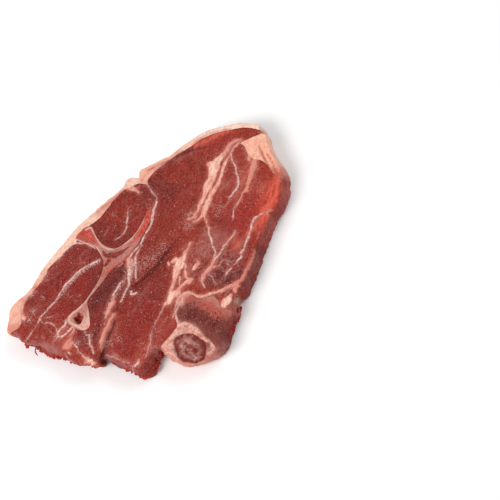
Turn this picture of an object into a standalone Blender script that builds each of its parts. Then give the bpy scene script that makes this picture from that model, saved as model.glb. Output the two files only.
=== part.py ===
"""A raw lamb shoulder chop, lying flat on one of its two sawn faces.

Run it in Blender's text editor or with: blender --background --python part.py
Metres, +Z up. X runs along the fat cap, +Y is the fat side and -Y the backbone side. The origin is on
the table, under the middle of the chop.

The chop is one slice through muscle, fat and bone. So the whole slice is made first, as one rounded
slab, and upright prisms of bone and fat then divide it into its pieces. The slice was sawn at a slant to
the shoulder, so everything in it leans the same way between the upper and the lower face.
"""
import math

import bpy
import bmesh
import numpy as np
from mathutils.geometry import delaunay_2d_cdt

MM = 0.001

# Driving dimensions, in millimetres
THICKNESS = 16.5              # between the two sawn faces
SLANT = np.array((4.2, 1.5))  # how far the lower face lies from under the upper one
RIB_SIDE = np.array((0.8, -0.6))  # the way the rib side faces
RIB_SPREAD = 4.0              # how much further the wall spreads at the foot on the rib side
EDGE_ROUND = 1.2              # soft rounding where the sawn faces meet the walls
WALL_BULGE = 0.7              # the walls swell this much at half height
GAP = 0.3                     # between one piece and the next
OUTLINE_STEP = 3.2            # between points along an outline
FACE_STEP = 5.5               # between points inside the upper face
MIDDLE = np.array((4.76, 2.65))  # the middle of the chop, in the plan's own coordinates

# The plan: points in millimetres, seen from above, that smooth lines are drawn through
FAT_SIDE = [(-93.5, 31), (-88, 36), (-84, 40.3), (-79, 41.7), (-69.5, 42), (-62, 44.6), (-50, 49),
            (-36, 52.2), (-22, 55), (-8, 56), (6, 56.8), (12, 57.3), (15.5, 59.2), (19.5, 58.6),
            (22, 56), (25.5, 58.6), (30, 58), (40, 56), (45, 54.6), (56, 54.5), (68, 54), (77, 51),
            (88, 45.5), (94.5, 39.8), (97.5, 36.3), (96.5, 33), (94.5, 30.9)]
RIB_WALL = [(96.8, 28.4), (94, 23), (91, 17), (89, 11), (87, 5.5), (84.8, 1.5), (81, -2.5), (73, -9),
            (64, -12.8), (54, -17), (45, -21.5), (36, -26.8), (28, -31.5), (21, -35.5), (16, -37.6),
            (11.5, -38.6), (8.5, -41.2)]
BACKBONE_SIDE = [(6.3, -44.2), (0, -46.2), (-6, -49.5), (-10.5, -53), (-14.5, -55), (-21, -54.8),
                 (-27, -53), (-32, -49.5), (-34.6, -44), (-36, -38), (-36.6, -33.5)]
LOBES = [(-38.5, -31.6), (-44, -32.4), (-51, -33.8), (-55.3, -30), (-58.3, -24.5), (-60.8, -19),
         (-62.2, -15.6), (-64.6, -14.2), (-67.5, -16.3), (-70.3, -16.5), (-73, -13), (-76, -8.5),
         (-77.3, -3.5), (-77.8, 1.5), (-80, 6), (-83, 10.5), (-86.5, 15.5), (-89, 20.5),
         (-90.8, 26)]
OUTLINE = FAT_SIDE + RIB_WALL + BACKBONE_SIDE + LOBES

# Where the fat cap ends and the lean begins; the last points close the prism outside the slab
FAT_LINE = [(-100, 29), (-91.5, 28.6), (-87.5, 28.3), (-84.5, 29.5), (-82.3, 32.5), (-79.5, 36),
            (-75, 39.2), (-67, 40), (-60, 42), (-52, 45.3), (-42, 46.9), (-35, 47.8), (-31, 47.6),
            (-27, 50.2), (-20, 50.8), (-12, 50.4), (-5, 51.8), (4, 54.2), (11, 55), (15, 53.6),
            (19, 53), (21.8, 50.6), (23.3, 48.6), (25, 50.8), (31, 52.2), (38, 52.6), (47, 52.2),
            (57, 50.9), (66, 50.6), (75, 48), (83, 44), (90, 39.5), (94, 35), (96.5, 32.2),
            (106, 31)]
FAT_OUTSIDE = [(106, 72), (-104, 72)]

# The corner of fat at the rib end
CORNER_LINE = [(104, 29.6), (94, 30.2), (88, 32), (81.4, 33.2), (81.6, 31), (81, 28), (79.4, 24),
               (79.8, 20.5), (82.6, 17), (83.6, 12), (82.6, 8), (82.3, 4.5), (83.6, 0.5), (88, -8)]
CORNER_OUTSIDE = [(112, -8), (112, 29)]

# The blade bone: a wedge of spine, a stem that forks, and a thin plate that ends in a ring
BLADE_LINE = [(-29.6, 49.2), (-24, 51.2), (-19.6, 50.9), (-18.2, 48.6), (-19.5, 45), (-20.4, 41),
              (-20.4, 36), (-18, 30.6), (-15, 29), (-10, 28.6), (-4, 29), (3, 31.2), (12, 35.7),
              (15.5, 36.6), (12.5, 32.6), (3, 27.2), (-7, 22.9), (-17, 20.8), (-27, 20.9),
              (-35, 18.8), (-45, 16.4), (-49.4, 14.8), (-53, 9), (-57, 3.4), (-60, 2.7),
              (-62.4, 4.2), (-64.8, 9.5), (-65.4, 13), (-62.5, 15.5), (-55, 15.7), (-50, 16.1),
              (-40, 19.5), (-32.5, 23), (-27, 28), (-24.8, 36), (-25.2, 40), (-27, 43.2)]

# The backbone: a knuckle of spongy bone with a round body beside it
BACKBONE_LINE = [(-41, -44), (-38.2, -35), (-36, -32.7), (-30, -31.4), (-25, -30.4), (-21.4, -29),
                 (-18.4, -23), (-14.5, -20.2), (-10, -18.4), (-6, -18.6), (-3.2, -21),
                 (-2, -24.6), (1, -26.6), (4.6, -28.6), (5.4, -32.6), (4.4, -37), (6.4, -41.5),
                 (11, -46.5)]
BACKBONE_OUTSIDE = [(14, -66), (-44, -66)]

# Where the wall tucks in under the upper face: x, y, radius and depth at the foot
TUCKS = [(-69, -14, 12, 4.0), (-22, -56, 15, 1.5), (12, -42, 9, 1.5), (95, 22, 11, 3.0)]

# Swells of the upper face: x, y, radius and height
SWELLS = [(-55, 34, 17, 0.7), (2, 42, 17, 0.8), (-32, -10, 22, 0.6), (42, 38, 18, 0.9),
          (70, 22, 15, 0.6), (20, -20, 14, 0.7), (-12, 14, 14, 0.8), (-68, 2, 12, -0.6),
          (84, 12, 12, -0.7)]

# Creases of the upper face, each a line with its greatest width and depth
LONG_FOLD = [(12, 10), (4, 8.4), (-5, 5.6), (-15, 4.4), (-27, 4.6)]
LOBE_GAP = [(-70, -20.5), (-64.4, -15.6), (-57.5, -10.6), (-50, -6.6), (-42, -3.6)]
CAP_CLEFT = [(34, 54.2), (43, 51.8), (52, 50.6), (60, 48.2), (65, 45.6)]
CORNER_CLEFT = [(88.5, 25), (86.8, 17), (85.8, 10), (83.4, 4)]
RING_HOLE = [(-61.8, 8.4), (-60.2, 7.6), (-56.4, 9.6), (-56.2, 12.4), (-58, 13.5), (-61, 12.4)]
HOLE_DEPTH = 5.0


def clear_scene():
    for item in list(bpy.data.objects):
        bpy.data.objects.remove(item, do_unlink=True)


def smooth_line(points, step, closed=False):
    """Points a step apart on a smooth curve through the given ones (a Catmull-Rom spline)."""
    pts = np.array(points, float)
    if closed:
        pts = np.vstack((pts[-1:], pts, pts[:2]))
    else:
        pts = np.vstack((2 * pts[0] - pts[1], pts, 2 * pts[-1] - pts[-2]))
    line = []
    for a, b, c, d in zip(pts, pts[1:], pts[2:], pts[3:]):
        count = max(1, round(math.dist(b, c) / step))
        for t in np.arange(count) / count:
            line.append(0.5 * (2 * b + (c - a) * t + (2 * a - 5 * b + 4 * c - d) * t * t
                               + (3 * b - 3 * c + d - a) * t ** 3))
    if not closed:
        line.append(pts[-2])
    return np.array(line)


def outward(loop, span=1):
    """The unit normal of each point of a closed clockwise loop, read over a span of points."""
    along = np.roll(loop, -span, axis=0) - np.roll(loop, span, axis=0)
    along /= np.linalg.norm(along, axis=1)[:, None]
    return np.column_stack((-along[:, 1], along[:, 0]))


def clockwise(loop):
    x, y = loop.T
    area = 0.5 * np.sum(x * np.roll(y, -1) - y * np.roll(x, -1))
    return loop[::-1] if area > 0 else loop


def upper_face(point):
    """Height of the upper sawn face over a point of the plan."""
    height = THICKNESS
    for x, y, radius, rise in SWELLS:
        height += rise * math.exp(-((point[0] - x) ** 2 + (point[1] - y) ** 2) / radius ** 2)
    return height


def wall_ring(outline, share):
    """The outline at a share of the height, 0 at the foot and 1 at the upper face."""
    normal = outward(outline, span=2)
    spread = RIB_SPREAD * np.clip(normal @ RIB_SIDE, 0, 1) ** 2
    for x, y, radius, depth in TUCKS:
        spread -= depth * np.exp(-((outline[:, 0] - x) ** 2 + (outline[:, 1] - y) ** 2) / radius ** 2)
    swell = WALL_BULGE * 4 * share * (1 - share)
    near_edge = max(0, 1 - min(share, 1 - share) * THICKNESS / EDGE_ROUND)
    inset = EDGE_ROUND * near_edge ** 2
    reach = spread * (1 - share) + swell - inset
    return outline + SLANT * (1 - share) + normal * reach[:, None]


def inside(point, loop):
    """Whether a point lies in a loop, by counting the sides that a line to the right crosses."""
    a, b = loop, np.roll(loop, -1, axis=0)
    spans = (a[:, 1] > point[1]) != (b[:, 1] > point[1])
    rise = np.where(spans, b[:, 1] - a[:, 1], 1)
    cross = a[:, 0] + (point[1] - a[:, 1]) / rise * (b[:, 0] - a[:, 0])
    return np.count_nonzero(spans & (cross > point[0])) % 2 == 1


def face_points(rim):
    """Points in staggered rows inside a rim, kept clear of it."""
    low, high = rim.min(axis=0), rim.max(axis=0)
    found = []
    for row, y in enumerate(np.arange(low[1], high[1], FACE_STEP * 0.87)):
        for x in np.arange(low[0] + row % 2 * FACE_STEP / 2, high[0], FACE_STEP):
            clear = np.min(np.hypot(rim[:, 0] - x, rim[:, 1] - y)) > FACE_STEP * 0.6
            if clear and inside((x, y), rim):
                found.append((x, y))
    return found


def new_object(name, bm, colour=None):
    """An object from a bmesh in plan millimetres, put in its place in metres."""
    bmesh.ops.recalc_face_normals(bm, faces=bm.faces)
    for vert in bm.verts:
        vert.co.x = (vert.co.x - MIDDLE[0]) * MM
        vert.co.y = (vert.co.y - MIDDLE[1]) * MM
        vert.co.z *= MM
    mesh = bpy.data.meshes.new(name)
    bm.to_mesh(mesh)
    bm.free()
    item = bpy.data.objects.new(name, mesh)
    bpy.context.scene.collection.objects.link(item)
    if colour:
        mesh.materials.append(colour)
    return item


def cutter(name, bm):
    item = new_object(name, bm)
    item.hide_render = True
    item.display_type = 'WIRE'
    return item


def slab():
    """The whole slice as one closed body: foot, wall and a gently swelling upper face."""
    outline = clockwise(smooth_line(OUTLINE, OUTLINE_STEP, closed=True))
    bm = bmesh.new()
    shares = (0.0, 0.5 * EDGE_ROUND / THICKNESS, 0.35, 0.7, 1 - 0.5 * EDGE_ROUND / THICKNESS)
    rings = []
    for share in shares:
        ring = wall_ring(outline, share)
        heights = [share * upper_face(p) for p in outline]
        rings.append([bm.verts.new((x, y, z)) for (x, y), z in zip(ring, heights)])
    for low, high in zip(rings, rings[1:]):
        for i in range(len(low)):
            bm.faces.new((low[i - 1], low[i], high[i], high[i - 1]))
    bm.faces.new(rings[0])
    rim = wall_ring(outline, 1.0)
    plan = [tuple(p) for p in rim] + face_points(rim)
    verts, _, faces, *_ = delaunay_2d_cdt(plan, [], [list(range(len(rim)))], 1, 0.001)
    top = [bm.verts.new((x, y, upper_face((x, y)))) for x, y in verts]
    for face in faces:
        bm.faces.new([top[i] for i in face])
    lip = top[:len(rim)]
    for i in range(len(rim)):
        bm.faces.new((rings[-1][i - 1], rings[-1][i], lip[i], lip[i - 1]))
    return bm


def prism(line, outside=(), grow=0.0):
    """A tall leaning prism over a smooth line, closed outside the slab where it is open."""
    closed = not outside
    loop = smooth_line(line, OUTLINE_STEP, closed)
    if outside:
        loop = np.vstack((loop, outside))
    loop = clockwise(loop)
    loop = loop + outward(loop) * grow
    bm = bmesh.new()
    ends = []
    for height in (-6, THICKNESS + 8):
        shift = SLANT * (1 - height / THICKNESS)
        ends.append([bm.verts.new((x + shift[0], y + shift[1], height)) for x, y in loop])
    for end in ends:
        bm.faces.new(end)
    for i in range(len(loop)):
        bm.faces.new((ends[0][i - 1], ends[0][i], ends[1][i], ends[1][i - 1]))
    return bm


def crease(line, width, depth):
    """A wedge that follows a line on the upper face, thin at both ends."""
    path = smooth_line(line, OUTLINE_STEP)
    along = np.gradient(path, axis=0)
    along /= np.linalg.norm(along, axis=1)[:, None]
    side = np.column_stack((-along[:, 1], along[:, 0]))
    bm = bmesh.new()
    sections = []
    for i, point in enumerate(path):
        size = 0.15 + 0.85 * max(0.0, math.sin(math.pi * i / (len(path) - 1))) ** 0.5
        top, half = upper_face(point), width / 2 * size
        reach = (depth * size + 3) / depth  # the wedge starts 3 mm over the face
        corners = [(*(point + side[i] * half * reach), top + 3),
                   (*(point - side[i] * half * reach), top + 3), (*point, top - depth * size)]
        sections.append([bm.verts.new(c) for c in corners])
    for a, b in zip(sections, sections[1:]):
        for i in range(3):
            bm.faces.new((a[i - 1], a[i], b[i], b[i - 1]))
    bm.faces.new(sections[0])
    bm.faces.new(sections[-1])
    return bm


def pit(line, depth):
    """A short tapered prism, for the open end of the marrow hole."""
    loop = clockwise(smooth_line(line, OUTLINE_STEP / 2, closed=True))
    middle = loop.mean(axis=0)
    bm = bmesh.new()
    ends = []
    for height, size in ((THICKNESS - depth, 0.7), (THICKNESS + 4, 1.1)):
        ends.append([bm.verts.new((*(middle + (p - middle) * size), height)) for p in loop])
    for end in ends:
        bm.faces.new(end)
    for i in range(len(loop)):
        bm.faces.new((ends[0][i - 1], ends[0][i], ends[1][i], ends[1][i - 1]))
    return bm


def boolean(item, operation, tool):
    mod = item.modifiers.new(operation.title() + ' ' + tool.name, 'BOOLEAN')
    mod.operation = operation
    mod.solver = 'EXACT'
    mod.object = tool


def material(name, colour, roughness):
    mat = bpy.data.materials.new(name)
    mat.use_nodes = True
    shader = mat.node_tree.nodes['Principled BSDF']
    shader.inputs['Base Color'].default_value = (*colour, 1)
    shader.inputs['Roughness'].default_value = roughness
    shader.inputs['Metallic'].default_value = 0.0
    return mat


def build():
    clear_scene()
    lean_red = material('raw_lean', (0.27, 0.045, 0.035), 0.45)
    fat_cream = material('raw_fat', (0.80, 0.52, 0.40), 0.5)
    bone_pink = material('sawn_bone', (0.55, 0.26, 0.21), 0.6)

    blade = cutter('cut_blade', prism(BLADE_LINE))
    blade_room = cutter('cut_blade_room', prism(BLADE_LINE, grow=GAP))
    spine = cutter('cut_backbone', prism(BACKBONE_LINE, BACKBONE_OUTSIDE))
    spine_room = cutter('cut_backbone_room', prism(BACKBONE_LINE, BACKBONE_OUTSIDE, GAP))
    cap = cutter('cut_cap', prism(FAT_LINE, FAT_OUTSIDE))
    cap_room = cutter('cut_cap_room', prism(FAT_LINE, FAT_OUTSIDE, GAP))
    corner = cutter('cut_corner', prism(CORNER_LINE, CORNER_OUTSIDE))
    corner_room = cutter('cut_corner_room', prism(CORNER_LINE, CORNER_OUTSIDE, GAP))
    fold = cutter('cut_fold', crease(LONG_FOLD, 3.0, 2.6))
    lobe_gap = cutter('cut_lobe_gap', crease(LOBE_GAP, 2.4, 5.0))
    cap_cleft = cutter('cut_cap_cleft', crease(CAP_CLEFT, 1.8, 1.6))
    corner_cleft = cutter('cut_corner_cleft', crease(CORNER_CLEFT, 1.8, 1.6))
    hole = cutter('cut_hole', pit(RING_HOLE, HOLE_DEPTH))

    lean = new_object('lean', slab(), lean_red)
    for tool in (blade_room, spine_room, cap_room, corner_room, fold, lobe_gap, cap_cleft):
        boolean(lean, 'DIFFERENCE', tool)
    fat_cap = new_object('fat_cap', slab(), fat_cream)
    boolean(fat_cap, 'INTERSECT', cap)
    boolean(fat_cap, 'DIFFERENCE', blade_room)
    corner_fat = new_object('corner_fat', slab(), fat_cream)
    boolean(corner_fat, 'INTERSECT', corner)
    boolean(corner_fat, 'DIFFERENCE', corner_cleft)
    blade_bone = new_object('blade_bone', slab(), bone_pink)
    boolean(blade_bone, 'INTERSECT', blade)
    boolean(blade_bone, 'DIFFERENCE', hole)
    backbone = new_object('backbone', slab(), bone_pink)
    boolean(backbone, 'INTERSECT', spine)


build()
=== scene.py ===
# %% [markdown]
# # A raw lamb shoulder chop
# One slice across a lamb's shoulder: red muscles wrapped in thin skins, seams of fat between them, a cap of
# fat along the back, the forked cut through the blade bone and a knuckle of backbone. A packed frame gives
# its true size and place. This lesson builds what the eye sees around it. The plan of the sawn face is drawn
# with a few points for each line. Fine meshes are made from that plan, each point of a mesh learns how far
# it lies from each seam, and the materials turn those distances into crisp, slightly frayed edges.

# %% Load the frame
import math

import bpy
import numpy as np
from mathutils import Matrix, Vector
from mathutils.geometry import delaunay_2d_cdt


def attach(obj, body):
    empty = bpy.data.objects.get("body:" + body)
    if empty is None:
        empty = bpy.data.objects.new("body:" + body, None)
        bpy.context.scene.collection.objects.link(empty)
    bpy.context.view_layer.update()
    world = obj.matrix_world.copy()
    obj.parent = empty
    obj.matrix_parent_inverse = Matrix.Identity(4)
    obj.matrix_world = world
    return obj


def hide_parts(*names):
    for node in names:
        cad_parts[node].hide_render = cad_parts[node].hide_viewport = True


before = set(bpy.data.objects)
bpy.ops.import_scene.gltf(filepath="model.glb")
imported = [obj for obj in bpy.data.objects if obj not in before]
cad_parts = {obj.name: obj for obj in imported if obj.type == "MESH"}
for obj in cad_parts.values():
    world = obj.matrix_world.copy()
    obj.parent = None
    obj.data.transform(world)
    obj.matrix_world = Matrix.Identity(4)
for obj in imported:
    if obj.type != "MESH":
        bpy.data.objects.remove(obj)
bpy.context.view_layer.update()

MM = 0.001
print("nodes of the frame:", sorted(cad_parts))

# %% [markdown]
# ## The camera
# The chop is looked down on from the cut end of its lobes, 65 degrees above the table. A long lens keeps
# the far end as large as the near one. The camera looks at a point right of the chop's middle, so the chop
# lies to the left with free table beside it.

# %% Camera
PLAN_MIDDLE = np.array((4.76, 2.65))   # the frame's origin, in millimetres on the plan below
LOOK_AT = np.array((39.0, -22.0))      # on the plan
FACE_HEIGHT = 17.0
VIEW_TURN, VIEW_RISE = math.radians(-42), math.radians(65)
VIEW_DISTANCE = 784.7

backwards = Vector((math.sin(VIEW_TURN) * math.cos(VIEW_RISE),
                    -math.cos(VIEW_TURN) * math.cos(VIEW_RISE), math.sin(VIEW_RISE)))
lens = bpy.data.cameras.new("camera")
lens.lens = 100
lens.sensor_width = 36
lens.clip_start = 0.01
camera = bpy.data.objects.new("camera", lens)
bpy.context.scene.collection.objects.link(camera)
camera.rotation_euler = (math.pi / 2 - VIEW_RISE, 0, VIEW_TURN)
camera.location = Vector((*(LOOK_AT - PLAN_MIDDLE), FACE_HEIGHT)) * MM + backwards * VIEW_DISTANCE * MM
bpy.context.scene.camera = camera
print("camera at", [round(c, 3) for c in camera.location])

# %% [markdown]
# ## The plan
# Butchers saw a frozen shoulder straight through, so a chop is a plan with a thickness. The plan is drawn
# in millimetres from above, and each line has only the points that its shape needs. These are the outlines
# that divide the slice into its pieces.

# %% Outlines of the pieces
THICKNESS = 16.5
SLANT = np.array((4.2, 1.5))      # the slice leans: its lower face lies this far from under the upper one
RIB_SIDE = np.array((0.8, -0.6))
RIB_SPREAD = 4.0

FAT_SIDE = [(-93.5, 31), (-88, 36), (-84, 40.3), (-79, 41.7), (-69.5, 42), (-62, 44.6), (-50, 49),
            (-36, 52.2), (-22, 55), (-8, 56), (6, 56.8), (12, 57.3), (15.5, 59.2), (19.5, 58.6),
            (22, 56), (25.5, 58.6), (30, 58), (40, 56), (45, 54.6), (56, 54.5), (68, 54), (77, 51),
            (88, 45.5), (94.5, 39.8), (97.5, 36.3), (96.5, 33), (94.5, 30.9)]
RIB_WALL = [(96.8, 28.4), (94, 23), (91, 17), (89, 11), (87, 5.5), (84.8, 1.5), (81, -2.5), (73, -9),
            (64, -12.8), (54, -17), (45, -21.5), (36, -26.8), (28, -31.5), (21, -35.5), (16, -37.6),
            (11.5, -38.6), (8.5, -41.2)]
BACKBONE_SIDE = [(6.3, -44.2), (0, -46.2), (-6, -49.5), (-10.5, -53), (-14.5, -55), (-21, -54.8),
                 (-27, -53), (-32, -49.5), (-34.6, -44), (-36, -38), (-36.6, -33.5)]
LOBES = [(-38.5, -31.6), (-44, -32.6), (-49, -34), (-52.8, -34.8), (-54.6, -32.4), (-56.4, -28.6),
         (-58.6, -24.5), (-61.2, -19), (-62.8, -16.2), (-64.6, -14.8), (-67.5, -16.3), (-70.3, -16.5),
         (-73, -13), (-76, -8.5),
         (-77.3, -3.5), (-77.8, 1.5), (-80, 6), (-83, 10.5), (-86.5, 15.5), (-89, 20.5),
         (-90.8, 26)]
OUTLINE = FAT_SIDE + RIB_WALL + BACKBONE_SIDE + LOBES

FAT_LINE = [(-100, 29), (-91.5, 28.6), (-87.5, 28.3), (-84.5, 29.5), (-82.3, 32.5), (-79.5, 36),
            (-75, 39.2), (-67, 40), (-60, 42), (-52, 45.3), (-42, 46.9), (-35, 47.8), (-31, 47.6),
            (-27, 50.2), (-20, 50.8), (-12, 50.4), (-5, 51.8), (4, 54.2), (11, 55), (15, 53.6),
            (19, 53), (21.8, 50.6), (23.3, 48.6), (25, 50.8), (31, 52.2), (38, 52.6), (47, 52.2),
            (57, 50.9), (66, 50.6), (75, 48), (83, 44), (90, 39.5), (94, 35), (96.5, 32.2),
            (106, 31)]
FAT_OUTSIDE = [(106, 72), (-104, 72)]
CORNER_LINE = [(104, 29.6), (94, 30.2), (88, 32), (81.4, 33.2), (81.6, 31), (81, 28), (79.4, 24),
               (79.8, 20.5), (82.6, 17), (83.6, 12), (82.6, 8), (82.3, 4.5), (83.6, 0.5), (88, -8)]
CORNER_OUTSIDE = [(112, -8), (112, 29)]
BLADE_LINE = [(-29.6, 49.2), (-24, 51.2), (-19.6, 50.9), (-18.2, 48.6), (-19.5, 45), (-20.4, 41),
              (-20.4, 36), (-18, 30.6), (-15, 29), (-10, 28.6), (-4, 29), (3, 31.2), (12, 35.7),
              (15.5, 36.6), (12.5, 32.6), (3, 27.2), (-7, 22.9), (-17, 20.8), (-27, 20.9),
              (-35, 18.8), (-45, 16.4), (-49.4, 14.8), (-53, 9), (-57, 3.4), (-60, 2.7),
              (-62.4, 4.2), (-64.8, 9.5), (-65.4, 13), (-62.5, 15.5), (-55, 15.7), (-50, 16.1),
              (-40, 19.5), (-32.5, 23), (-27, 28), (-24.8, 36), (-25.2, 40), (-27, 43.2)]
BACKBONE_LINE = [(-41, -44), (-38.2, -35), (-36, -32.7), (-30, -31.4), (-25, -30.4), (-21.4, -29),
                 (-18.4, -23), (-14.5, -20.2), (-10, -18.4), (-6, -18.6), (-3.2, -21),
                 (-2, -24.6), (1, -26.6), (4.6, -28.6), (5.4, -32.6), (4.4, -37), (6.4, -41.5),
                 (11, -46.5)]
BACKBONE_OUTSIDE = [(14, -66), (-44, -66)]
RING_HOLE = [(-61.7, 8.6), (-60.3, 7.6), (-58.2, 8.5), (-56.2, 9.8), (-56.2, 12), (-57, 13.6),
             (-58.7, 12.6), (-61, 12.6)]
print("outline points:", len(OUTLINE), "and of the blade bone:", len(BLADE_LINE))

# %% [markdown]
# ## Smooth lines
# A line through a few points should bend as a muscle does, so each stretch follows a Catmull-Rom curve. It
# goes through every given point, which makes it easy to draw with, and a width or a depth given with the
# points is smoothed along too.

# %% Smooth lines
def smooth(points, step, closed=False):
    """Points about a step apart on a smooth curve through the given ones."""
    pts = np.array(points, float)
    if closed:
        pts = np.vstack((pts[-1:], pts, pts[:2]))
    else:
        pts = np.vstack((2 * pts[0] - pts[1], pts, 2 * pts[-1] - pts[-2]))
    line = []
    for a, b, c, d in zip(pts, pts[1:], pts[2:], pts[3:]):
        count = max(1, round(math.dist(b[:2], c[:2]) / step))
        for t in np.arange(count) / count:
            line.append(0.5 * (2 * b + (c - a) * t + (2 * a - 5 * b + 4 * c - d) * t * t
                               + (3 * b - 3 * c + d - a) * t ** 3))
    if not closed:
        line.append(pts[-2])
    return np.array(line)


RIM_STEP = 0.6                       # millimetres between points along a rim
outline = smooth(OUTLINE, RIM_STEP, closed=True)
print("the rim is", round(len(outline) * RIM_STEP), "mm round")

# %% [markdown]
# ## Distances to lines
# Nearly everything below asks how far a point of the plan lies from a line. One function answers that for
# all points at once. It also says where along the line the nearest place is, and on which side the point
# lies. Arrays of numbers make this quick: a hundred thousand points against a line take a blink.

# %% Nearness
def near(places, line, reach):
    """Distance to a line up to a reach, the place along it, and the side (+1 is left of its direction)."""
    dist = np.full(len(places), float(reach))
    where = np.zeros(len(places))
    side = np.ones(len(places))
    start, step = line[:-1, :2], np.diff(line[:, :2], axis=0)
    low, high = line[:, :2].min(axis=0) - reach, line[:, :2].max(axis=0) + reach
    inside = np.flatnonzero(np.all((places > low) & (places < high), axis=1))
    for some in np.array_split(inside, 1 + len(inside) * len(step) // 3000000):
        gap = places[some][:, None] - start
        t = np.clip((gap * step).sum(axis=2) / np.maximum((step ** 2).sum(axis=1), 1e-12), 0, 1)
        away = np.hypot(*np.moveaxis(gap - t[..., None] * step, 2, 0))
        best = away.argmin(axis=1)
        rows = np.arange(len(some))
        closer = away[rows, best] < reach
        cross = step[best, 0] * gap[rows, best, 1] - step[best, 1] * gap[rows, best, 0]
        dist[some] = np.where(closer, away[rows, best], reach)
        where[some] = best + t[rows, best]
        side[some] = np.where(cross < 0, -1, 1)
    return dist, where, side


def within(places, loop):
    """Which places lie in a closed loop, by counting the sides that a line to the right crosses."""
    hit = np.zeros(len(places), bool)
    for a, b in zip(loop, np.roll(loop, -1, axis=0)):
        if a[1] != b[1]:
            spans = (a[1] > places[:, 1]) != (b[1] > places[:, 1])
            hit ^= spans & (a[0] + (places[:, 1] - a[1]) / (b[1] - a[1]) * (b[0] - a[0]) > places[:, 0])
    return hit


def ring(loop):
    return np.vstack((loop, loop[:1]))


middle_to_rim = near(np.zeros((1, 2)), ring(outline), 90)[0][0]
print("from the middle of the plan to the rim:", round(float(middle_to_rim), 1), "mm")

# %% [markdown]
# ## One plan, cut into pieces
# All pieces of a sawn slice meet edge to edge. So the plan is triangulated once, with the borders as fixed
# edges (a constrained Delaunay triangulation), and each triangle is given to the piece it lies in. Borders
# then match point for point. The upper face gets a fine lattice for its relief and the lower face a coarse
# one, because it lies on the table.

# %% Borders between the pieces
borders = {"blade": ring(smooth(BLADE_LINE, RIM_STEP, closed=True)),
           "cap": smooth(FAT_LINE, RIM_STEP),
           "corner": smooth(CORNER_LINE, RIM_STEP),
           "backbone": smooth(BACKBONE_LINE, RIM_STEP)}
hole_rim = ring(smooth(RING_HOLE, 0.4, closed=True))
shapes = [("blade_bone", borders["blade"][:-1]),
          ("fat_cap", np.vstack((borders["cap"], FAT_OUTSIDE))),
          ("corner_fat", np.vstack((borders["corner"], CORNER_OUTSIDE))),
          ("backbone", np.vstack((borders["backbone"], BACKBONE_OUTSIDE)))]
PIECES = ["lean"] + [name for name, _ in shapes]
print("pieces:", PIECES)


# %% Lattice and triangles
def lattice(cell, clear_of):
    """Points in staggered rows inside the outline, kept clear of the lines."""
    low, high = outline.min(axis=0), outline.max(axis=0)
    rows = np.arange(low[1], high[1], cell * math.sqrt(3) / 2)
    cols = np.arange(low[0], high[0], cell)
    x, y = np.meshgrid(cols, rows)
    x = x + cell / 2 * (np.arange(len(rows)) % 2)[:, None]
    points = np.column_stack((x.ravel(), y.ravel()))
    points = points[within(points, outline)]
    for line in clear_of:
        points = points[near(points, line, cell)[0] > cell * 0.55]
    return points


def triangulate(points, edges):
    """Corner places, triangles facing up, and the piece (a number, -1 outside) of each triangle."""
    places, _, faces, *_ = delaunay_2d_cdt([Vector(p) for p in points], edges, [], 0, 1e-4)
    places = np.array(places, float)
    faces = np.array(faces)
    a, b, c = (places[faces[:, k]] for k in range(3))
    turn = (b[:, 0] - a[:, 0]) * (c[:, 1] - a[:, 1]) - (b[:, 1] - a[:, 1]) * (c[:, 0] - a[:, 0])
    faces[turn < 0] = faces[turn < 0][:, ::-1]
    middles = places[faces].mean(axis=1)
    owner = np.zeros(len(faces), int)
    for number, (_, loop) in reversed(list(enumerate(shapes, 1))):
        owner[within(middles, loop)] = number
    owner[~within(middles, outline)] = -1
    return places, faces, owner


def border_edges(faces, owner):
    """Each edge whose two sides belong to different pieces."""
    found = set()
    for number in range(len(PIECES)):
        mine = faces[owner == number]
        sides = np.vstack((mine[:, (0, 1)], mine[:, (1, 2)], mine[:, (2, 0)]))
        known = {tuple(e) for e in sides.tolist()}
        found |= {(min(e), max(e)) for e in known if (e[1], e[0]) not in known}
    return sorted(found)


print("points of a 5 mm lattice:", len(lattice(5, [ring(outline)])))

# %% Triangulate the plan
FACE_CELL, FOOT_CELL = 0.56, 1.2     # lattice steps of the two faces
lines = [ring(outline), *borders.values(), hole_rim]
points, edges = [], []
for line in lines:
    closed = np.allclose(line[0], line[-1])
    start, count = len(points), len(line) - closed
    points += line[:count].tolist()
    edges += [(start + i, start + (i + 1) % count) for i in range(count if closed else count - 1)]
upper = triangulate(points + lattice(FACE_CELL, lines).tolist(), edges)
border = border_edges(upper[1], upper[2])
used = sorted({i for edge in border for i in edge})
slot_of = {i: k for k, i in enumerate(used)}
foot_lines = [ring(outline), *borders.values()]
lower = triangulate(upper[0][used].tolist() + lattice(FOOT_CELL, foot_lines).tolist(),
                    [(slot_of[a], slot_of[b]) for a, b in border])
print("upper face:", len(upper[1]), "triangles, lower face:", len(lower[1]))

# %% [markdown]
# ## Noise on points
# Meat has no straight line and no even tone. This noise gives a smooth random number between -1 and 1 at
# any point. It mixes random values from the corners of a grid of cells, so lumps come out about one cell in
# size. The grid can have two or three directions.

# %% Noise
def grain(places, size, seed=0):
    table = np.random.default_rng(seed).uniform(-1, 1, 4096)
    cell = np.asarray(places) / size
    base = np.floor(cell).astype(np.int64)
    t = cell - base
    t = t * t * (3 - 2 * t)
    total = np.zeros(len(cell))
    for corner in np.ndindex(*(2,) * cell.shape[1]):
        key = ((base + corner) * (73856093, 19349663, 83492791)[:cell.shape[1]]).sum(axis=1)
        total += table[(key ^ key >> 13) & 4095] * np.where(corner, t, 1 - t).prod(axis=1)
    return total


def layered(places, size, seed=0):
    """Three sizes of noise together, each finer and weaker than the last."""
    return sum(grain(places, size / 2 ** k, seed + k) / 2 ** k for k in range(3)) / 1.75


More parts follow.
